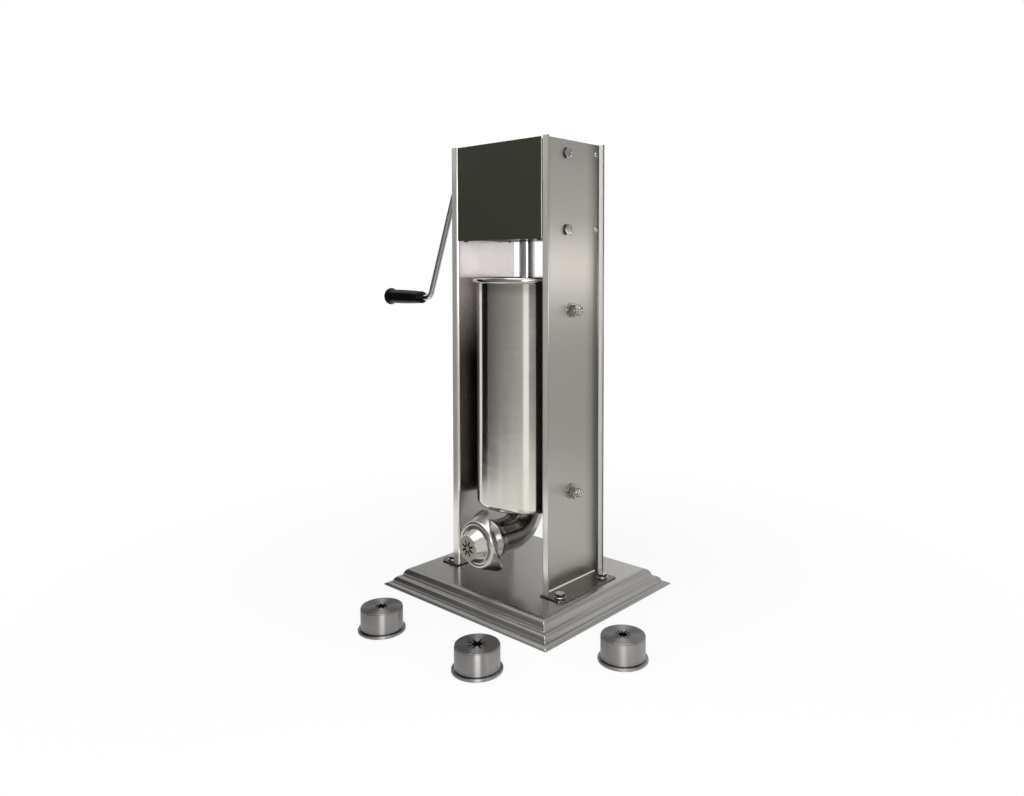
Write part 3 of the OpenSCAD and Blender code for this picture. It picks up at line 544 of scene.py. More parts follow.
# A darker copy of the turned steel for the dies' top faces: painted shade.
DIE_TOP = steel("die_top", (0.20, 0.194, 0.19), 0.36, TURNING, stretch=1.0, across=True, smear=0.03,
                relief=0.04)
CONE = steel("die_cone", (0.50, 0.49, 0.45), 0.14, (400, 6000, 400), relief=0.03)
FACE = steel("die_face", (0.42, 0.40, 0.34), 0.5, EVEN, tone=0.08)
GEAR = steel("gear_steel", (0.35, 0.35, 0.35), 0.35, (2500, 600, 600))
BRONZE = steel("bronze", (0.60, 0.40, 0.18), 0.3, (600, 600, 3000))
# The front cover's dark colour stands in for a dark reflection in its steel: painted reflection.
COVER = coat("dark_cover", (0.029, 0.030, 0.021), 0.36, 5000.0, specular=0.3)
IRON = coat("cast_iron", (0.14, 0.14, 0.145), 0.55, 900.0, metallic=0.6, relief=0.4)
BLACK = coat("black_plastic", (0.004, 0.004, 0.005), 0.22, 1400.0, specular=0.12, relief=0.04)
SEAL = coat("seal_rubber", (0.72, 0.72, 0.70), 0.6, 1200.0)
# Near-black for the star slots and the dies' inner walls: painted shade in the recesses.
RECESS_SHADE = coat("slot_walls", (0.012, 0.012, 0.012), 0.7, 1500.0, specular=0.1)


# Base: loops round the moulding, with slightly rounded mitres
def base_outline():
    lip = [(0, 0), (0.0, 1.1), (0.35, 1.6), (7.4, 4.6), (8.3, 4.7), (8.9, 4.4), (9.4, 4.5)]
    ovolo = arc(19.2, 3.9, 9.6, 166, 104, 14)
    cove = [(18.2, 13.55), (19.4, 13.85), (20.3, 14.35), (20.9, 15.1)]
    return lip + ovolo + cove + arc(33, BASE_H - 12, 12, 170, 90, 24)


def rect_loop(inset, z, radius, n=5):
    hx, hy = BASE_W / 2 - inset - radius, BASE_D / 2 - inset - radius
    pts = []
    for cx, cy, a in ((hx, hy, 0), (-hx, hy, 90), (-hx, -hy, 180), (hx, -hy, 270)):
        pts += [(x, y, z) for x, y in arc(cx, cy, radius, a, a + 90, n)]
    return pts


def make_base():
    outer = base_outline()
    under = [(i + BASE_T, z - BASE_T) for i, z in outer]
    inner = [(BASE_LIP, 0)] + [(i, z) for i, z in under if i > BASE_LIP and z > 0.2]
    loops = [rect_loop(i, z, MITRE_R) for i, z in inner[::-1] + outer]
    rows, n = len(loops), len(loops[0])
    verts = [p for loop in loops for p in loop]
    ob = mesh_object("base_look", put((verts, skin(rows, n) + caps(rows, n)), place()))
    use(ob, PRESSED, MOULDED)
    paint(ob, lambda f: PRESSED if f.normal.z > 0.98 and f.center.z > (BASE_H - 1) * MM else MOULDED)
    dress(ob, PRESSED, "frame", ["base"], angle=40)


# Side plates: a folded section with its bend radii, standing on a foot tab
def make_side_plate(node, side):
    bend_x, bend_y, tip_x = PLATE_IN + FOLD_R, PLATE_HALF_Y - FOLD_R, PLATE_IN + FLANGE_W
    thin = FOLD_R - PLATE_T
    edge = PLATE_T / 2
    outer = [(PLATE_IN, -bend_y), (PLATE_IN, bend_y)] + arc(bend_x, bend_y, FOLD_R, 180, 90, 8)[1:]
    outer += arc(tip_x - edge, PLATE_HALF_Y - edge, edge, 90, -90, 8)
    outer += arc(bend_x, bend_y, thin, 90, 180, 8)
    mirrored = [(x, -y) for x, y in outer[2:]][::-1]
    channel = mesh_object("channel", put(prism(outer + mirrored, BASE_H, COLUMN_TOP), place()))
    soften(channel, 0.35, 2, 60)
    foot = [(PLATE_IN, TAB_FRONT), (TAB_OUT - TAB_CUT, TAB_FRONT), (TAB_OUT, TAB_FRONT + TAB_CUT),
            (TAB_OUT, TAB_REAR), (PLATE_IN, TAB_REAR)]
    tab = mesh_object("tab", put(prism(foot, BASE_H, TAB_TOP), place()))
    soften(tab, 0.4)
    sunk = 0.2
    fillet = arc(PLATE_OUT + BEND_R, TAB_TOP + BEND_R, BEND_R, 270, 180, 8)
    fillet += [(PLATE_OUT - sunk, TAB_TOP + BEND_R), (PLATE_OUT - sunk, TAB_TOP - sunk)]
    fillet += [(PLATE_OUT + BEND_R, TAB_TOP - sunk)]
    bend = mesh_object("bend", put(tip_over(prism(fillet, BEND_FRONT, BEND_REAR)), place()))
    mats = [PLATE, INSIDE, FLANGE, FOOT, REAR_FOLD]
    verts, faces, finish = [], [], []
    for piece in (channel, tab, bend):
        shift = len(verts)
        verts += [(v.co.x * side, v.co.y, v.co.z) for v in piece.data.vertices]
        for face in piece.data.polygons:
            faces.append([i + shift for i in face.vertices])
            mat = PLATE
            # Foot tabs take the dark copy of the sheet: painted shade.
            if piece is tab:
                mat = FOOT
            # The bend fillet takes the lighter flange steel: a painted highlight along the bend.
            elif piece is bend:
                mat = FLANGE
            # Inside faces: painted shade, darker lower down.
            elif face.normal.x < -0.99:
                mat = INSIDE
            # The rear flange's front face takes the painted highlight and shade; other flange faces take
            # the lighter flange steel.
            elif abs(face.normal.y) > 0.2 and face.normal.x < 0.05:
                mat = REAR_FOLD if face.normal.y < 0 < face.center.y else FLANGE
            finish.append(mats.index(mat))
        bpy.data.objects.remove(piece)
    ob = mesh_object(node + "_look", (verts, faces))
    use(ob, *mats)
    ob.data.polygons.foreach_set("material_index", finish)
    if side < 0:
        bore_r = SHAFT_R + 0.4
        bore = lathe([(0, -4), (bore_r, -4), (bore_r, 4), (0, 4)], 64)
        at = place(-PLATE_IN - PLATE_T / 2, CRANK_Y, SHAFT_Z, TO_LEFT)
        carve(ob, mesh_object("shaft_bore", put(bore, at)))
    dress(ob, PLATE, "frame", [node], flat_from=300)


# Sheets: the side plates, and covers that keep the solids' shape and get rounded edges
def make_sheets():
    make_side_plate("left_side_plate", -1)
    make_side_plate("right_side_plate", 1)
    # The front cover takes the dark cover colour, a painted reflection.
    for node, width, mat, slot in (
            ("rear_cover", 0.4, SHEET, "sheet_steel"), ("top_cover", 0.4, SHEET, "sheet_steel"),
            ("front_cover", 0.5, COVER, "dark_cover")):
        ob = soften(node_copy(node, node + "_look"), width)
        use(ob, mat)
        if node == "front_cover":
            use(ob, CUT_EDGE)
            paint(ob, lambda f: CUT_EDGE if abs(f.normal.x) > 0.9 else mat)
        dress(ob, mat, "frame", [node], flat_from=300)


# Dough cylinder with its rolled rim
def make_cylinder():
    bore = CYL_R - CYL_T
    bead = RIM_BEAD / 2
    rim = arc(bore + bead, CYL_H - bead, bead, -60, 180, 32)
    outer = [(OUTLET_R, 0)] + arc(CYL_R - CYL_EDGE, CYL_EDGE, CYL_EDGE, 270, 360, 16)
    step = [(CYL_R, CYL_H - 2 * bead - 0.8), (CYL_R + 0.5, CYL_H - 2 * bead + 0.1)]
    inner = arc(CYL_R - CYL_EDGE, CYL_EDGE, CYL_EDGE - CYL_T, 360, 270, 16)
    part = lathe(outer + step + rim + inner + [(OUTLET_R, CYL_T)], 192)
    ob = mesh_object("cylinder_look", put(part, place(0, 0, CYL_Z)))
    use(ob, POLISHED, RIM, BORE)

    def pick(face):
        outward = face.normal.x * face.center.x + face.normal.y * face.center.y
        # The rim and the inside take darker copies of the polished steel: painted shade.
        if face.center.z > (CYL_Z + CYL_H - RIM_BEAD) * MM:
            return RIM
        return BORE if outward < 0 else POLISHED

    paint(ob, pick)
    dress(ob, POLISHED, "frame", ["cylinder"])


# Elbow: a bent pipe
def make_elbow():
    path = [(0.0, 0.0, CYL_Z)]
    path += [(0.0, -ELBOW_BEND + y, CYL_Z + z) for y, z in arc(0, 0, ELBOW_BEND, -1, -90, 40)]
    path += [(0.0, -COLLAR_S, OUTLET_Z)]
    normal = Vector((1, 0, 0))
    n = 72
    out = tube(path, ELBOW_OUT, n, normal)
    hollow = tube(path, OUTLET_R, n, normal)
    count = len(path)
    parts = merge([(out[0], out[1][:-2]), (hollow[0], hollow[1][:-2])])
    shift = n * count
    for row in (0, (count - 1) * n):
        for k in range(n):
            j = (k + 1) % n
            parts[1].append([row + k, row + j, shift + row + j, shift + row + k])
    ob = mesh_object("elbow_look", put(parts, place()))
    dress(ob, PIPE, "frame", ["elbow"])


# Threaded ferrule: plain collar, then a round screw thread
def make_ferrule():
    pitch, depth = 3.0, 1.3

    def wave(r, h, a):
        if r < THREAD_R - 0.6 or h <= THREAD_S + 0.5 or h >= FERRULE_END - 0.3:
            return r
        t = (h / pitch - a / TAU) % 1.0
        fade = min(1.0, (h - THREAD_S - 0.5) / 2.0)
        return r - depth * fade * (0.5 - 0.5 * math.cos(TAU * t))

    rows = 124
    run = FERRULE_END - THREAD_S
    thread = [(THREAD_R - 0.02, THREAD_S + run * i / rows) for i in range(rows + 1)]
    collar = [(OUTLET_R, COLLAR_S), (COLLAR_R - 1.0, COLLAR_S)]
    collar += arc(COLLAR_R - 1.0, COLLAR_S + 1.0, 1.0, -90, 0, 5)
    collar += arc(COLLAR_R - 0.6, THREAD_S - 0.7, 0.6, 0, 80, 4)
    part = lathe(collar + thread + [(OUTLET_R, FERRULE_END)], 120, wave)
    ob = mesh_object("outlet_ferrule_look", put(part, OUTLET))
    use(ob, BRIGHT, THREAD)
    paint(ob, lambda f: THREAD if -f.center.y > THREAD_S * MM else BRIGHT)
    dress(ob, BRIGHT, "frame", ["outlet_ferrule"], angle=50)


# Dies: turned bodies with a star cut through their face
def star_arm(spec, index, inner):
    """One arm's outline, from the radius inner to its round tip."""
    arms, reach, width, _ = spec
    half = width / 2
    turn = TAU * (index + 0.5) / arms
    c, s = math.cos(turn), math.sin(turn)
    flat = [(inner, -half)] + arc(reach - half, 0, half, -90, 90, 8) + [(inner, half)]
    return [(x * c - y * s, x * s + y * c) for x, y in flat]


def star_cutter(node, top, matrix, inner=0.0):
    """A star as one prism with its core, or as free arms from the radius inner where it has no core."""
    spec = DIE_STARS[node]
    arms, _, width, core = spec
    low, high = top - 6, top + 2
    if core:
        lean = math.degrees(math.asin(width / 2 / core))
        start = core * math.cos(math.radians(lean))
        outline = []
        for i in range(arms):
            outline += star_arm(spec, i, start)
            turn = 360 * (i + 0.5) / arms
            outline += arc(0, 0, core, turn + lean, turn + 360 / arms - lean, 6)[1:-1]
        part = prism(outline, low, high)
    else:
        part = merge([prism(star_arm(spec, i, inner), low, high) for i in range(arms)])
    ob = mesh_object("star", put(part, matrix))
    # The slot walls take this near-black: painted shade.
    use(ob, RECESS_SHADE)
    return ob


def make_fitted_die():
    top = DIE_FLANGE_T + DIE_REACH
    step = DIE_FLANGE_T + 1.5
    foot = step + 2.6
    profile = [(OUTLET_R - 1, 0), (DIE_FLANGE_R, 0), (DIE_FLANGE_R, DIE_FLANGE_T), (DIE_R, DIE_FLANGE_T)]
    profile += arc(DIE_R - 0.5, step - 0.5, 0.5, 0, 90, 3)
    profile += [(DIE_CONE_R, step), (DIE_CONE_R, foot - 0.5), (DIE_CONE_R - 0.9, foot)]
    profile += arc(DIE_FACE_R - 1.0, top - 1.0, 1.0, 20, 90, 6)
    profile += [(0, top), (0, top - DIE_WALL), (DIE_FACE_R - DIE_WALL, top - DIE_WALL)]
    at = OUTLET @ Matrix.Translation((0, 0, FLANGE_S))
    ob = mesh_object("fitted_die_look", put(lathe(profile, 96), at))
    use(ob, CONE, RECESS_SHADE, FACE)
    carve(ob, star_cutter("fitted_die", top, at, 3.5))
    soften(ob, 0.2, 2, 40)
    front = (FLANGE_S + top - 0.1) * MM
    paint(ob, lambda f: FACE if f.normal.y < -0.9 and -f.center.y > front else None)
    flat_faces(dress(ob, CONE, "die", ["fitted_die"]), FACE)


def make_loose_dies():
    inner_r, h = DIE_R - DIE_WALL, DIE_H
    groove, line = DIE_R - 0.7, DIE_R - 0.5
    profile = [(inner_r, 0), (DIE_FLANGE_R - 0.5, 0), (DIE_FLANGE_R, 0.5), (DIE_FLANGE_R, 2.4)]
    profile += arc(DIE_FLANGE_R - 0.9, 2.5, 0.9, 10, 90, 4) + [(DIE_R + 0.9, 2.8), (groove, 2.8)]
    profile += [(groove, 4.4), (DIE_R, 5.0), (DIE_R, h - 1.5), (line, h - 1.3), (line, h - 0.9)]
    profile += arc(DIE_R - 1.0, h - 0.6, 0.6, 0, 90, 4)
    profile += [(0, h), (0, h - DIE_WALL), (inner_r, h - DIE_WALL)]
    for node, (x, y) in DIE_SPOTS.items():
        at = place(x, y, 0)
        ob = mesh_object(node + "_look", put(lathe(profile, 128), at))
        use(ob, TURNED, RECESS_SHADE, DIE_TOP, PAINTED_SIDE_SHADE)
        carve(ob, star_cutter(node, h, at))
        soften(ob, 0.2, 2, 40)

        def pick(face):
            r = math.hypot(face.center.x - x * MM, face.center.y - y * MM)
            z = face.center.z
            # Top faces: painted shade.
            if face.normal.z > 0.95 and z > (h - 0.2) * MM:
                return DIE_TOP
            # Inner walls: painted shade.
            if r < (inner_r + 0.1) * MM and 0.1 * MM < z < (h - DIE_WALL + 0.1) * MM:
                return RECESS_SHADE
            # Grooves below the top and above the flange: painted shade.
            if inner_r * MM < r < (DIE_R - 0.2) * MM and 2.7 * MM < z < (h - 0.8) * MM:
                return PAINTED_SIDE_SHADE
            return None

        paint(ob, pick)
        flat_faces(dress(ob, TURNED, DIE_BODIES[node], [node]), DIE_TOP)


# Wing nut: a bell whose skirt is cut away at two sides, blended smooth, on a grooved barrel
def make_wing_nut():
    front, lip, back = NUT_FRONT_S, NUT_FRONT_S - NUT_LIP, NUT_FRONT_S - NUT_LEN
    ring_r, hole_r = NUT_RING_R, DIE_R + 0.4
    steps = [i / 16 for i in range(17)]
    skirt = [(ring_r + (NUT_WING_R - ring_r) * u ** 1.05, lip - (lip - back) * u) for u in steps]
    wall = [(max(NUT_BORE_R, r - NUT_WALL), s) for r, s in skirt[::-1]]
    section = [(hole_r, lip), (hole_r, front - 0.5), (hole_r + 0.5, front)]
    section += arc(ring_r - NUT_WALL, front - NUT_WALL, NUT_WALL, 90, 30, 6)
    turn = OUTLET @ Matrix.Rotation(math.radians(WING_TURN), 4, "Z")
    ob = mesh_object("wing_nut_look", put(lathe(section + skirt + wall, 192), turn))
    tip, run, round_run, reach = 16.0, lip - back, 7.0, 60.0
    side = [(tip + (ring_r + 0.2 - tip) * (1 - u) ** 0.95, lip + 1.0 - (run + 1.0 - round_run) * u)
            for u in steps]
    angles = [math.radians(10 * i) for i in range(1, 9)]
    end = [(tip * math.cos(a), back + round_run * (1 - math.sin(a))) for a in angles]
    half = [(reach, front + 5.0), (reach, lip + 1.0)] + side + end
    outline = half + [(-x, s) for x, s in half[::-1]]
    keep = mesh_object("nut_outline", put(tip_over(prism(outline, -reach, reach)), turn))
    mod = ob.modifiers.new("trim", "BOOLEAN")
    mod.operation = "INTERSECT"
    mod.solver = "EXACT"
    mod.object = keep
    blend = ob.modifiers.new("blend", "REMESH")
    blend.mode = "VOXEL"
    blend.voxel_size = 0.55 * MM
    smooth = ob.modifiers.new("smooth", "SMOOTH")
    smooth.factor = 0.5
    smooth.iterations = 9
    bake(ob)
    bpy.data.objects.remove(keep)
    dress(ob, CAST, "wing_nut", ["wing_nut"], angle=60)
    start, groove_r, land_r = NUT_FRONT_S - 12.0, 34.0, 34.8
    barrel = [(NUT_BORE_R, start)]
    for i in range(5):
        s = start + 1.6 * i
        barrel += [(groove_r, s), (land_r, s + 0.4), (land_r, s + 1.0), (groove_r, s + 1.4)]
    barrel += [(land_r, lip - 1.0), (NUT_BORE_R, lip - 1.0)]
    ob = mesh_object("wing_nut_barrel", put(lathe(barrel, 96), OUTLET))
    dress(ob, THREAD, "wing_nut")


# Fasteners
def screw_rod(radius, pitch, h0, h1, depth):
    rows = int((h1 - h0) / pitch * 8)

    def wave(r, h, a):
        if h <= h0 or h > h1 - 0.9 or r < radius - 0.5:
            return r
        t = (h / pitch - a / TAU) % 1.0
        return r - depth * (0.5 - 0.5 * math.cos(TAU * t))

    profile = [(0, h0), (radius - 0.01, h0)]
    profile += [(radius - 0.01, h0 + (h1 - h0) * i / rows) for i in range(1, rows + 1)]
    tip = radius * 0.5
    angles = [math.radians(15 * i) for i in range(1, 6)]
    profile += [(radius * math.cos(a), h1 + tip * math.sin(a)) for a in angles]
    profile += [(0, h1 + tip)]
    return lathe(profile, 48, wave)


def make_studs():
    washer = lathe([(6.4, 0), (11.2, 0), (11.5, 0.3), (11.5, 2.1), (11.1, 2.5), (6.4, 2.5)], 64)
    boss = lathe([(0, 0), (10, 0), (10, 8.6), (9.6, 9.0), (0, 9.0)], 64)
    rod = screw_rod(6.0, 1.75, -1.0, 17.0, 0.8)
    nut = hex_head(20.8, 10.0, hole=6.05, both=True)
    rods, washers, nuts, bosses = [], [], [], []
    for side, turn in SIDES:
        for z in STUD_Z:
            at = place(side * PLATE_OUT, 0, z, turn)
            rods.append(put(rod, at))
            washers.append(put(washer, at))
            nuts.append(put(nut, at @ Matrix.Translation((0, 0, 2.5))))
            bosses.append(put(boss, place(side * (CYL_R - 0.2), 0, z, turn)))
    for name, parts, node in (
            ("stud_rods", rods + bosses, "cylinder_studs"), ("stud_washer_set", washers, "stud_washers"),
            ("stud_nut_set", nuts, "stud_nuts")):
        dress(mesh_object(name, merge(parts)), FASTENER, "frame", [node])


def make_bolts():
    washer = lathe([(0, 0), (8.2, 0), (8.4, 0.3), (8.4, 1.1), (8.0, 1.4), (0, 1.4)], 64)
    head = hex_head(15.0, 4.6, dish=0.5)
    feet = []
    for x in FOOT_BOLT_X:
        for y in FOOT_BOLT_Y:
            at = place(x, y, TAB_TOP)
            feet.append(put(washer, at))
            feet.append(put(head, at @ Matrix.Translation((0, 0, 1.4))))
    ob = mesh_object("foot_bolt_set", merge(feet))
    use(ob, BRIGHT, PAINTED_SIDE_SHADE)
    head_low = (TAB_TOP + 1.5) * MM
    # Head sides: painted shade.
    paint(ob, lambda f: PAINTED_SIDE_SHADE if abs(f.normal.z) < 0.3 and f.center.z > head_low else None)
    dress(ob, BRIGHT, "frame", ["foot_bolts"])
    washer = lathe([(0, 0), (8.6, 0), (8.6, 0.6), (0, 0.6)], 48)
    head = hex_head(18.5, 4.4, dish=0.5)
    heads = []
    for side, turn in SIDES:
        for z in BLOCK_BOLT_Z:
            at = place(side * PLATE_OUT, BLOCK_BOLT_Y, z, turn)
            heads.append(put(washer, at))
            heads.append(put(head, at @ Matrix.Translation((0, 0, 0.6))))
    ob = mesh_object("block_bolt_set", merge(heads))
    use(ob, FASTENER, PAINTED_SIDE_SHADE)
    # Head sides: painted shade.
    paint(ob, lambda f: PAINTED_SIDE_SHADE if abs(f.normal.x) < 0.3 else None)
    dress(ob, FASTENER, "frame", ["block_bolts"])


def cross_cutter(size, low, at):
    """Two crossed bars that cut a recess from the height low upwards."""
    out = []
    for width, depth in ((size * 0.16, size * 0.52), (size * 0.52, size * 0.16)):
        x, y = width / 2, depth / 2
        bar = prism([(-x, -y), (x, -y), (x, y), (-x, y)], low, 4)
        out.append(mesh_object("recess", put(bar, at)))
    return out


def make_screws():
    down = Matrix.Rotation(math.pi, 4, "X")
    rows = [
        ("rear_cover_screws", 9.0, 2.5,
         [place(s * PLATE_OUT, REAR_SCREW_Y, z, turn) for s, turn in SIDES for z in REAR_SCREW_Z]),
        ("cover_screws", 7.5, 2.2,
         [place(s * SCREW_X, SCREW_FRONT_Y, COVER_LOW_Z, down) for s in (1, -1)]),
        ("floor_screws", 7.5, 2.2,
         [place(s * SCREW_X, SCREW_REAR_Y, FLOOR_LOW_Z, down) for s in (1, -1)]),
        ("top_screws", 7.5, 2.2,
         [place(s * SCREW_X, y, TOP_COVER_Z) for s in (1, -1) for y in (SCREW_FRONT_Y, SCREW_REAR_Y)]),
    ]
    for node, width, height, places in rows:
        ob = mesh_object(node + "_look", merge([put(pan_head(width, height), at) for at in places]))
        for at in places:
            carve(ob, *cross_cutter(width, height * 0.45, at))
        ob.data.materials.clear()
        ob.data.polygons.foreach_set("material_index", [0] * len(ob.data.polygons))
        # The cover screws take the same dark colour: painted reflection.
        finish = COVER if node == "cover_screws" else FASTENER
        dress(ob, finish, "frame", [node])


# Crank: a bar bent twice, and a moulded grip that turns on it
def make_crank():
    lean, bend = math.radians(ARM_LEAN), ARM_BEND
    run = bend * math.tan((math.pi / 2 - lean) / 2)
    corner_x = ARM_X + (SHAFT_Z - GRIP_Z) * math.tan(lean)
    grip_x = corner_x + run + GRIP_BARE
    top = (ARM_X - run, SHAFT_Z - bend)
    low = (corner_x - run * math.sin(lean) + bend * math.cos(lean),
           GRIP_Z + run * math.cos(lean) + bend * math.sin(lean))
    flat = [(ARM_START_X, SHAFT_Z)] + arc(top[0], top[1], bend, 90, math.degrees(lean), 16)
    flat += arc(low[0], low[1], bend, 180 + math.degrees(lean), 270, 16)
    flat += [(grip_x + GRIP_LEN - 12, GRIP_Z)]
    path = [(-x, CRANK_Y, z) for x, z in flat]
    ob = mesh_object("crank_arm_look", put(tube(path, ARM_R, 48), place()))
    dress(ob, BRIGHT, "crank", ["crank_arm"])
    hub = soften(node_copy("crank_hub", "crank_hub_look"), 0.8, 3)
    dress(hub, BRIGHT, "crank", ["crank_hub"])
    body = [(5.05, 0), (9.0, 0)] + arc(9.0, 1.2, 1.2, -90, 0, 5)
    body += [(10.2, 3.6), (9.7, 4.2), (9.7, 5.0), (10.4, 5.6)]
    for i in range(1, 12):
        t = i / 11
        body.append((10.4 + 0.5 * math.sin(math.pi * t) + 1.9 * t, 5.6 + 72.4 * t))
    body += [(12.9, 81.0), (14.0, 83.6), (14.7, 85.6)] + arc(10.0, 87.0, 4.9, 0, 78, 8)
    body += [(8.4, 91.7), (7.2, 91.0), (6.6, 90.0), (6.2, 84.0), (0, 84.0), (0, 82.2), (5.05, 82.2)]
    at = place(-grip_x, CRANK_Y, GRIP_Z, TO_LEFT)
    ob = mesh_object("grip_look", put(lathe(body, 72), at))
    dress(ob, BLACK, "grip", ["grip"])


# Solids that keep their own shape and only take a finish
def finish_solids():
    finishes = {
        IRON: ["gearbox_floor", "left_bearing_block", "right_bearing_block"],
        BRONZE: ["crank_bushes", "gear_bushes", "rod_guide"],
        GEAR: ["crank_pinion", "drive_gear", "rack_pinion"],
        BRIGHT: ["foot_nuts", "crank_shaft", "hub_screws", "gear_shaft", "rack_rod", "plunger_nut"],
        POLISHED: ["plunger"],
        SEAL: ["plunger_seal"],
    }
    for mat, nodes in finishes.items():
        for node in nodes:
            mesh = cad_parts[node].data
            mesh.materials.clear()
            mesh.materials.append(mat)


# Stage: pale floor that fades into the white surroundings, plain soft light and dark cards
def seen_rays(tree):
    """One for rays from the camera and for reflections, and zero for the rest."""
    path = tree.nodes.new("ShaderNodeLightPath")
    return math_node(tree, "MAXIMUM", path.outputs["Is Camera Ray"], path.outputs["Is Glossy Ray"])


def mix_out(tree, amount, first, second, output="Material Output"):
    """Mixes two shaders and sends the result to the output."""
    mix = tree.nodes.new("ShaderNodeMixShader")
    tree.links.new(amount, mix.inputs["Fac"])
    tree.links.new(first, mix.inputs[1])
    tree.links.new(second, mix.inputs[2])
    tree.links.new(mix.outputs["Shader"], tree.nodes[output].inputs["Surface"])


def floor_material():
    mat, tree, bsdf = shader("pale_floor")
    bsdf.inputs["Base Color"].default_value = (0.86, 0.86, 0.86, 1)
    bsdf.inputs["Roughness"].default_value = 0.9
    bsdf.inputs["Specular IOR Level"].default_value = 0.1
    glow = tree.nodes.new("ShaderNodeEmission")
    coords = tree.nodes.new("ShaderNodeTexCoord")
    far = tree.nodes.new("ShaderNodeVectorMath")
    far.operation = "LENGTH"
    tree.links.new(coords.outputs["Object"], far.inputs[0])
    fade = spread(tree, far.outputs["Value"], 0.78, 1.0, 0.3, 0.8)
    for x, y in DIE_SPOTS.values():
        gap = tree.nodes.new("ShaderNodeVectorMath")
        gap.operation = "DISTANCE"
        gap.inputs[1].default_value = (x * MM, y * MM, 0.0)
        tree.links.new(coords.outputs["Object"], gap.inputs[0])
        outside = spread(tree, gap.outputs["Value"], 0.0, 1.0, (DIE_R - 1.0) * MM, DIE_R * MM)
        fade = math_node(tree, "MULTIPLY", fade, outside)
    amount = math_node(tree, "MULTIPLY", seen_rays(tree), fade)
    mix_out(tree, amount, bsdf.outputs["BSDF"], glow.outputs["Emission"])
    return mat


def make_world():
    world = bpy.data.worlds.new("studio")
    bpy.context.scene.world = world
    world.use_nodes = True
    tree = world.node_tree
    plain = tree.nodes["Background"]
    plain.inputs["Color"].default_value = (1, 1, 1, 1)
    plain.inputs["Strength"].default_value = 0.6
    white = tree.nodes.new("ShaderNodeBackground")
    white.inputs["Color"].default_value = (1, 1, 1, 1)
    white.inputs["Strength"].default_value = 1.0
    mix_out(tree, seen_rays(tree), plain.outputs["Background"], white.outputs["Background"], "World Output")


def card(name, a, b, stops, ends=(1.0, 1.0), facing=None):
    """An upright dark card between two floor points, seen by reflections only.

    The stops give its darkness by height, and ends scales it from a to b. With facing, only rays that
    come from that side see it.
    """
    low, high = stops[0][0], stops[-1][0]
    corners = [(*a, low), (*b, low), (*b, high), (*a, high)]
    ob = mesh_object(name, (corners, [[0, 1, 2, 3]]))
    mat, tree, bsdf = shader(name)
    bsdf.inputs["Base Color"].default_value = (0.012, 0.011, 0.009, 1)
    bsdf.inputs["Roughness"].default_value = 0.9
    bsdf.inputs["Specular IOR Level"].default_value = 0.0
    level = graded(tree, axis_value(tree, "Z"), stops)
    coords = tree.nodes.new("ShaderNodeTexCoord")
    along = tree.nodes.new("ShaderNodeVectorMath")
    along.operation = "DOT_PRODUCT"
    way = Vector((b[0] - a[0], b[1] - a[1], 0.0)).normalized()
    along.inputs[1].default_value = way
    tree.links.new(coords.outputs["Object"], along.inputs[0])
    side = spread(tree, along.outputs["Value"], ends[0], ends[1], way.dot((*a, 0.0)), way.dot((*b, 0.0)))
    clear = tree.nodes.new("ShaderNodeBsdfTransparent")
    dark = math_node(tree, "MULTIPLY", level, side)
    if facing:
        behind = tree.nodes.new("ShaderNodeNewGeometry").outputs["Backfacing"]
        if ob.data.polygons[0].normal.dot(facing) > 0:
            behind = math_node(tree, "SUBTRACT", 1.0, behind)
        dark = math_node(tree, "MULTIPLY", dark, behind)
    mix_out(tree, dark, clear.outputs["BSDF"], bsdf.outputs["BSDF"])
    use(ob, mat)
    ob.visible_camera = False
    ob.visible_diffuse = False
    ob.visible_shadow = False
    ob.visible_transmission = False


def bearing(radius, angle):
    """A floor point by its angle from the front, turned towards +X."""
    a = math.radians(angle)
    return radius * math.sin(a), -radius * math.cos(a)


def card_ring(name, radius, darks, stops):
    """Cards side by side round the object; darks gives the darkness by angle."""
    for i, ((a0, d0), (a1, d1)) in enumerate(zip(darks, darks[1:])):
        card(name + str(i), bearing(radius, a0), bearing(radius, a1), stops, (d0, d1))


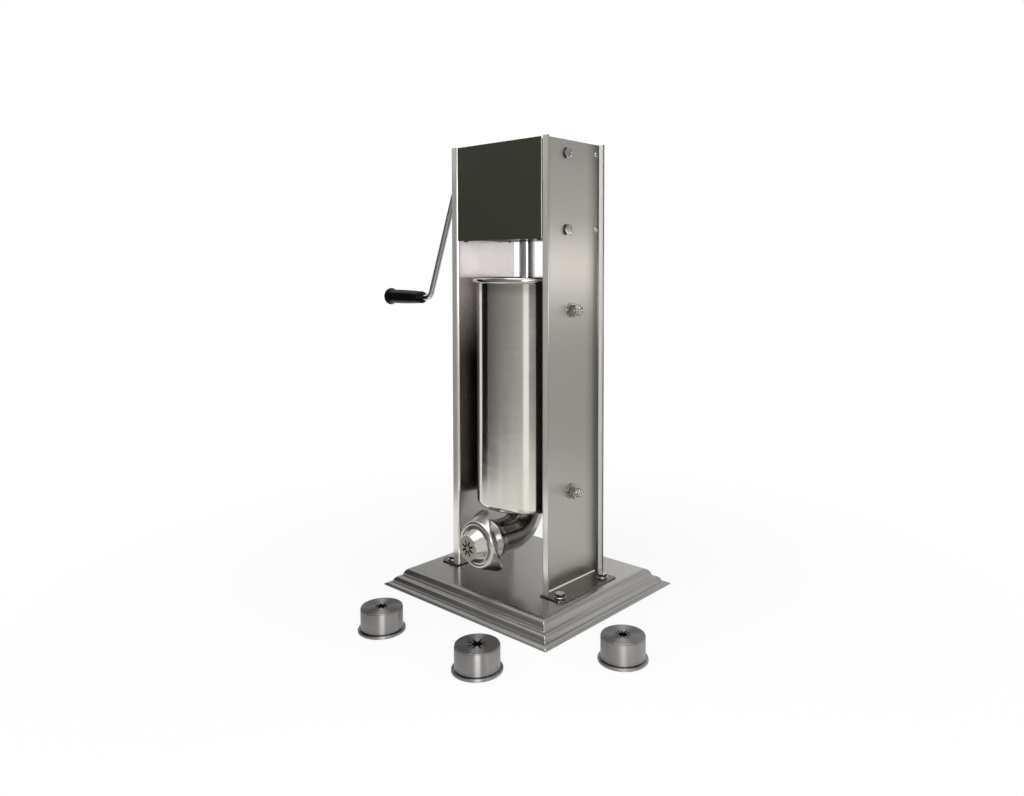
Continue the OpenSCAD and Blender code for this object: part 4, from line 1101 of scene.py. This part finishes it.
def make_cards():
    # The two column cards, behind the column and just inside the right plate, are dark sheets seen only in
    # reflections: painted shade of the column's inside.
    column = [(0.125, 0.96), (0.23, 0.97), (0.35, 0.92), (0.40, 0.8), (0.445, 0.5), (0.485, 0.2),
              (0.54, 0.0)]
    card("column_back_card", (-0.087, 0.072), (0.087, 0.072), column)
    low_column = [(0.125, 0.95), (0.465, 0.95), (0.49, 0.0)]
    card("column_right_card", (0.0872, -0.062), (0.0872, 0.064), low_column, facing=Vector((-1, 0, 0)))
    card("line_card", bearing(0.58, -78), bearing(0.58, -54), [(0.0, 1.0), (0.7, 1.0)])
    room = [(0.0, 1.0), (1.2, 1.0), (1.8, 0.0)]
    card_ring("room_card", 0.6, [(-54, 0.88), (-18, 0.76), (10, 0.68), (34, 0.58)], room)
    card_ring("right_card", 0.6, [(46, 0.75), (62, 0.75)], room)
    side = [(0.0, 0.12), (0.10, 0.28), (0.36, 0.32), (0.43, 0.0), (0.53, 0.0), (0.60, 0.5), (1.5, 0.5)]
    card("side_card", (1.18, 0.03), (-0.02, 1.09), side)
    sky = [(0.45, 0.0), (0.7, 1.0), (2.6, 1.0), (3.2, 0.0)]
    card_ring("sky_card", 2.5, [(-165, 0.05), (-148, 0.15), (-136, 0.5), (-105, 0.6)], sky)


def make_stage():
    half = 30.0
    corners = [(-half, -half, 0), (half, -half, 0), (half, half, 0), (-half, half, 0)]
    floor = mesh_object("floor", (corners, [[0, 1, 2, 3]]))
    use(floor, floor_material())
    make_world()
    make_cards()


def area_light(name, at, aim, width, height, power):
    data = bpy.data.lights.new(name, "AREA")
    data.shape = "RECTANGLE"
    data.size = width
    data.size_y = height
    data.energy = power
    ob = bpy.data.objects.new(name, data)
    ob.location = at
    ob.rotation_euler = (Vector(aim) - Vector(at)).to_track_quat("-Z", "Y").to_euler()
    bpy.context.scene.collection.objects.link(ob)


def make_lights():
    area_light("key", (1.10, -1.12, 0.62), (0, 0, 0.5), 0.60, 0.50, 9)
    area_light("side", (1.30, 1.20, 0.52), (0, 0, 0.5), 0.50, 0.22, 0.7)
    area_light("top", (0.2, -0.4, 2.6), (0, 0, 0.3), 2.0, 2.0, 30)


add_camera()
bpy.context.scene.view_settings.view_transform = "Standard"
make_base()
make_sheets()
make_cylinder()
make_elbow()
make_ferrule()
make_fitted_die()
make_loose_dies()
make_wing_nut()
make_studs()
make_bolts()
make_screws()
make_crank()
finish_solids()
make_stage()
make_lights()
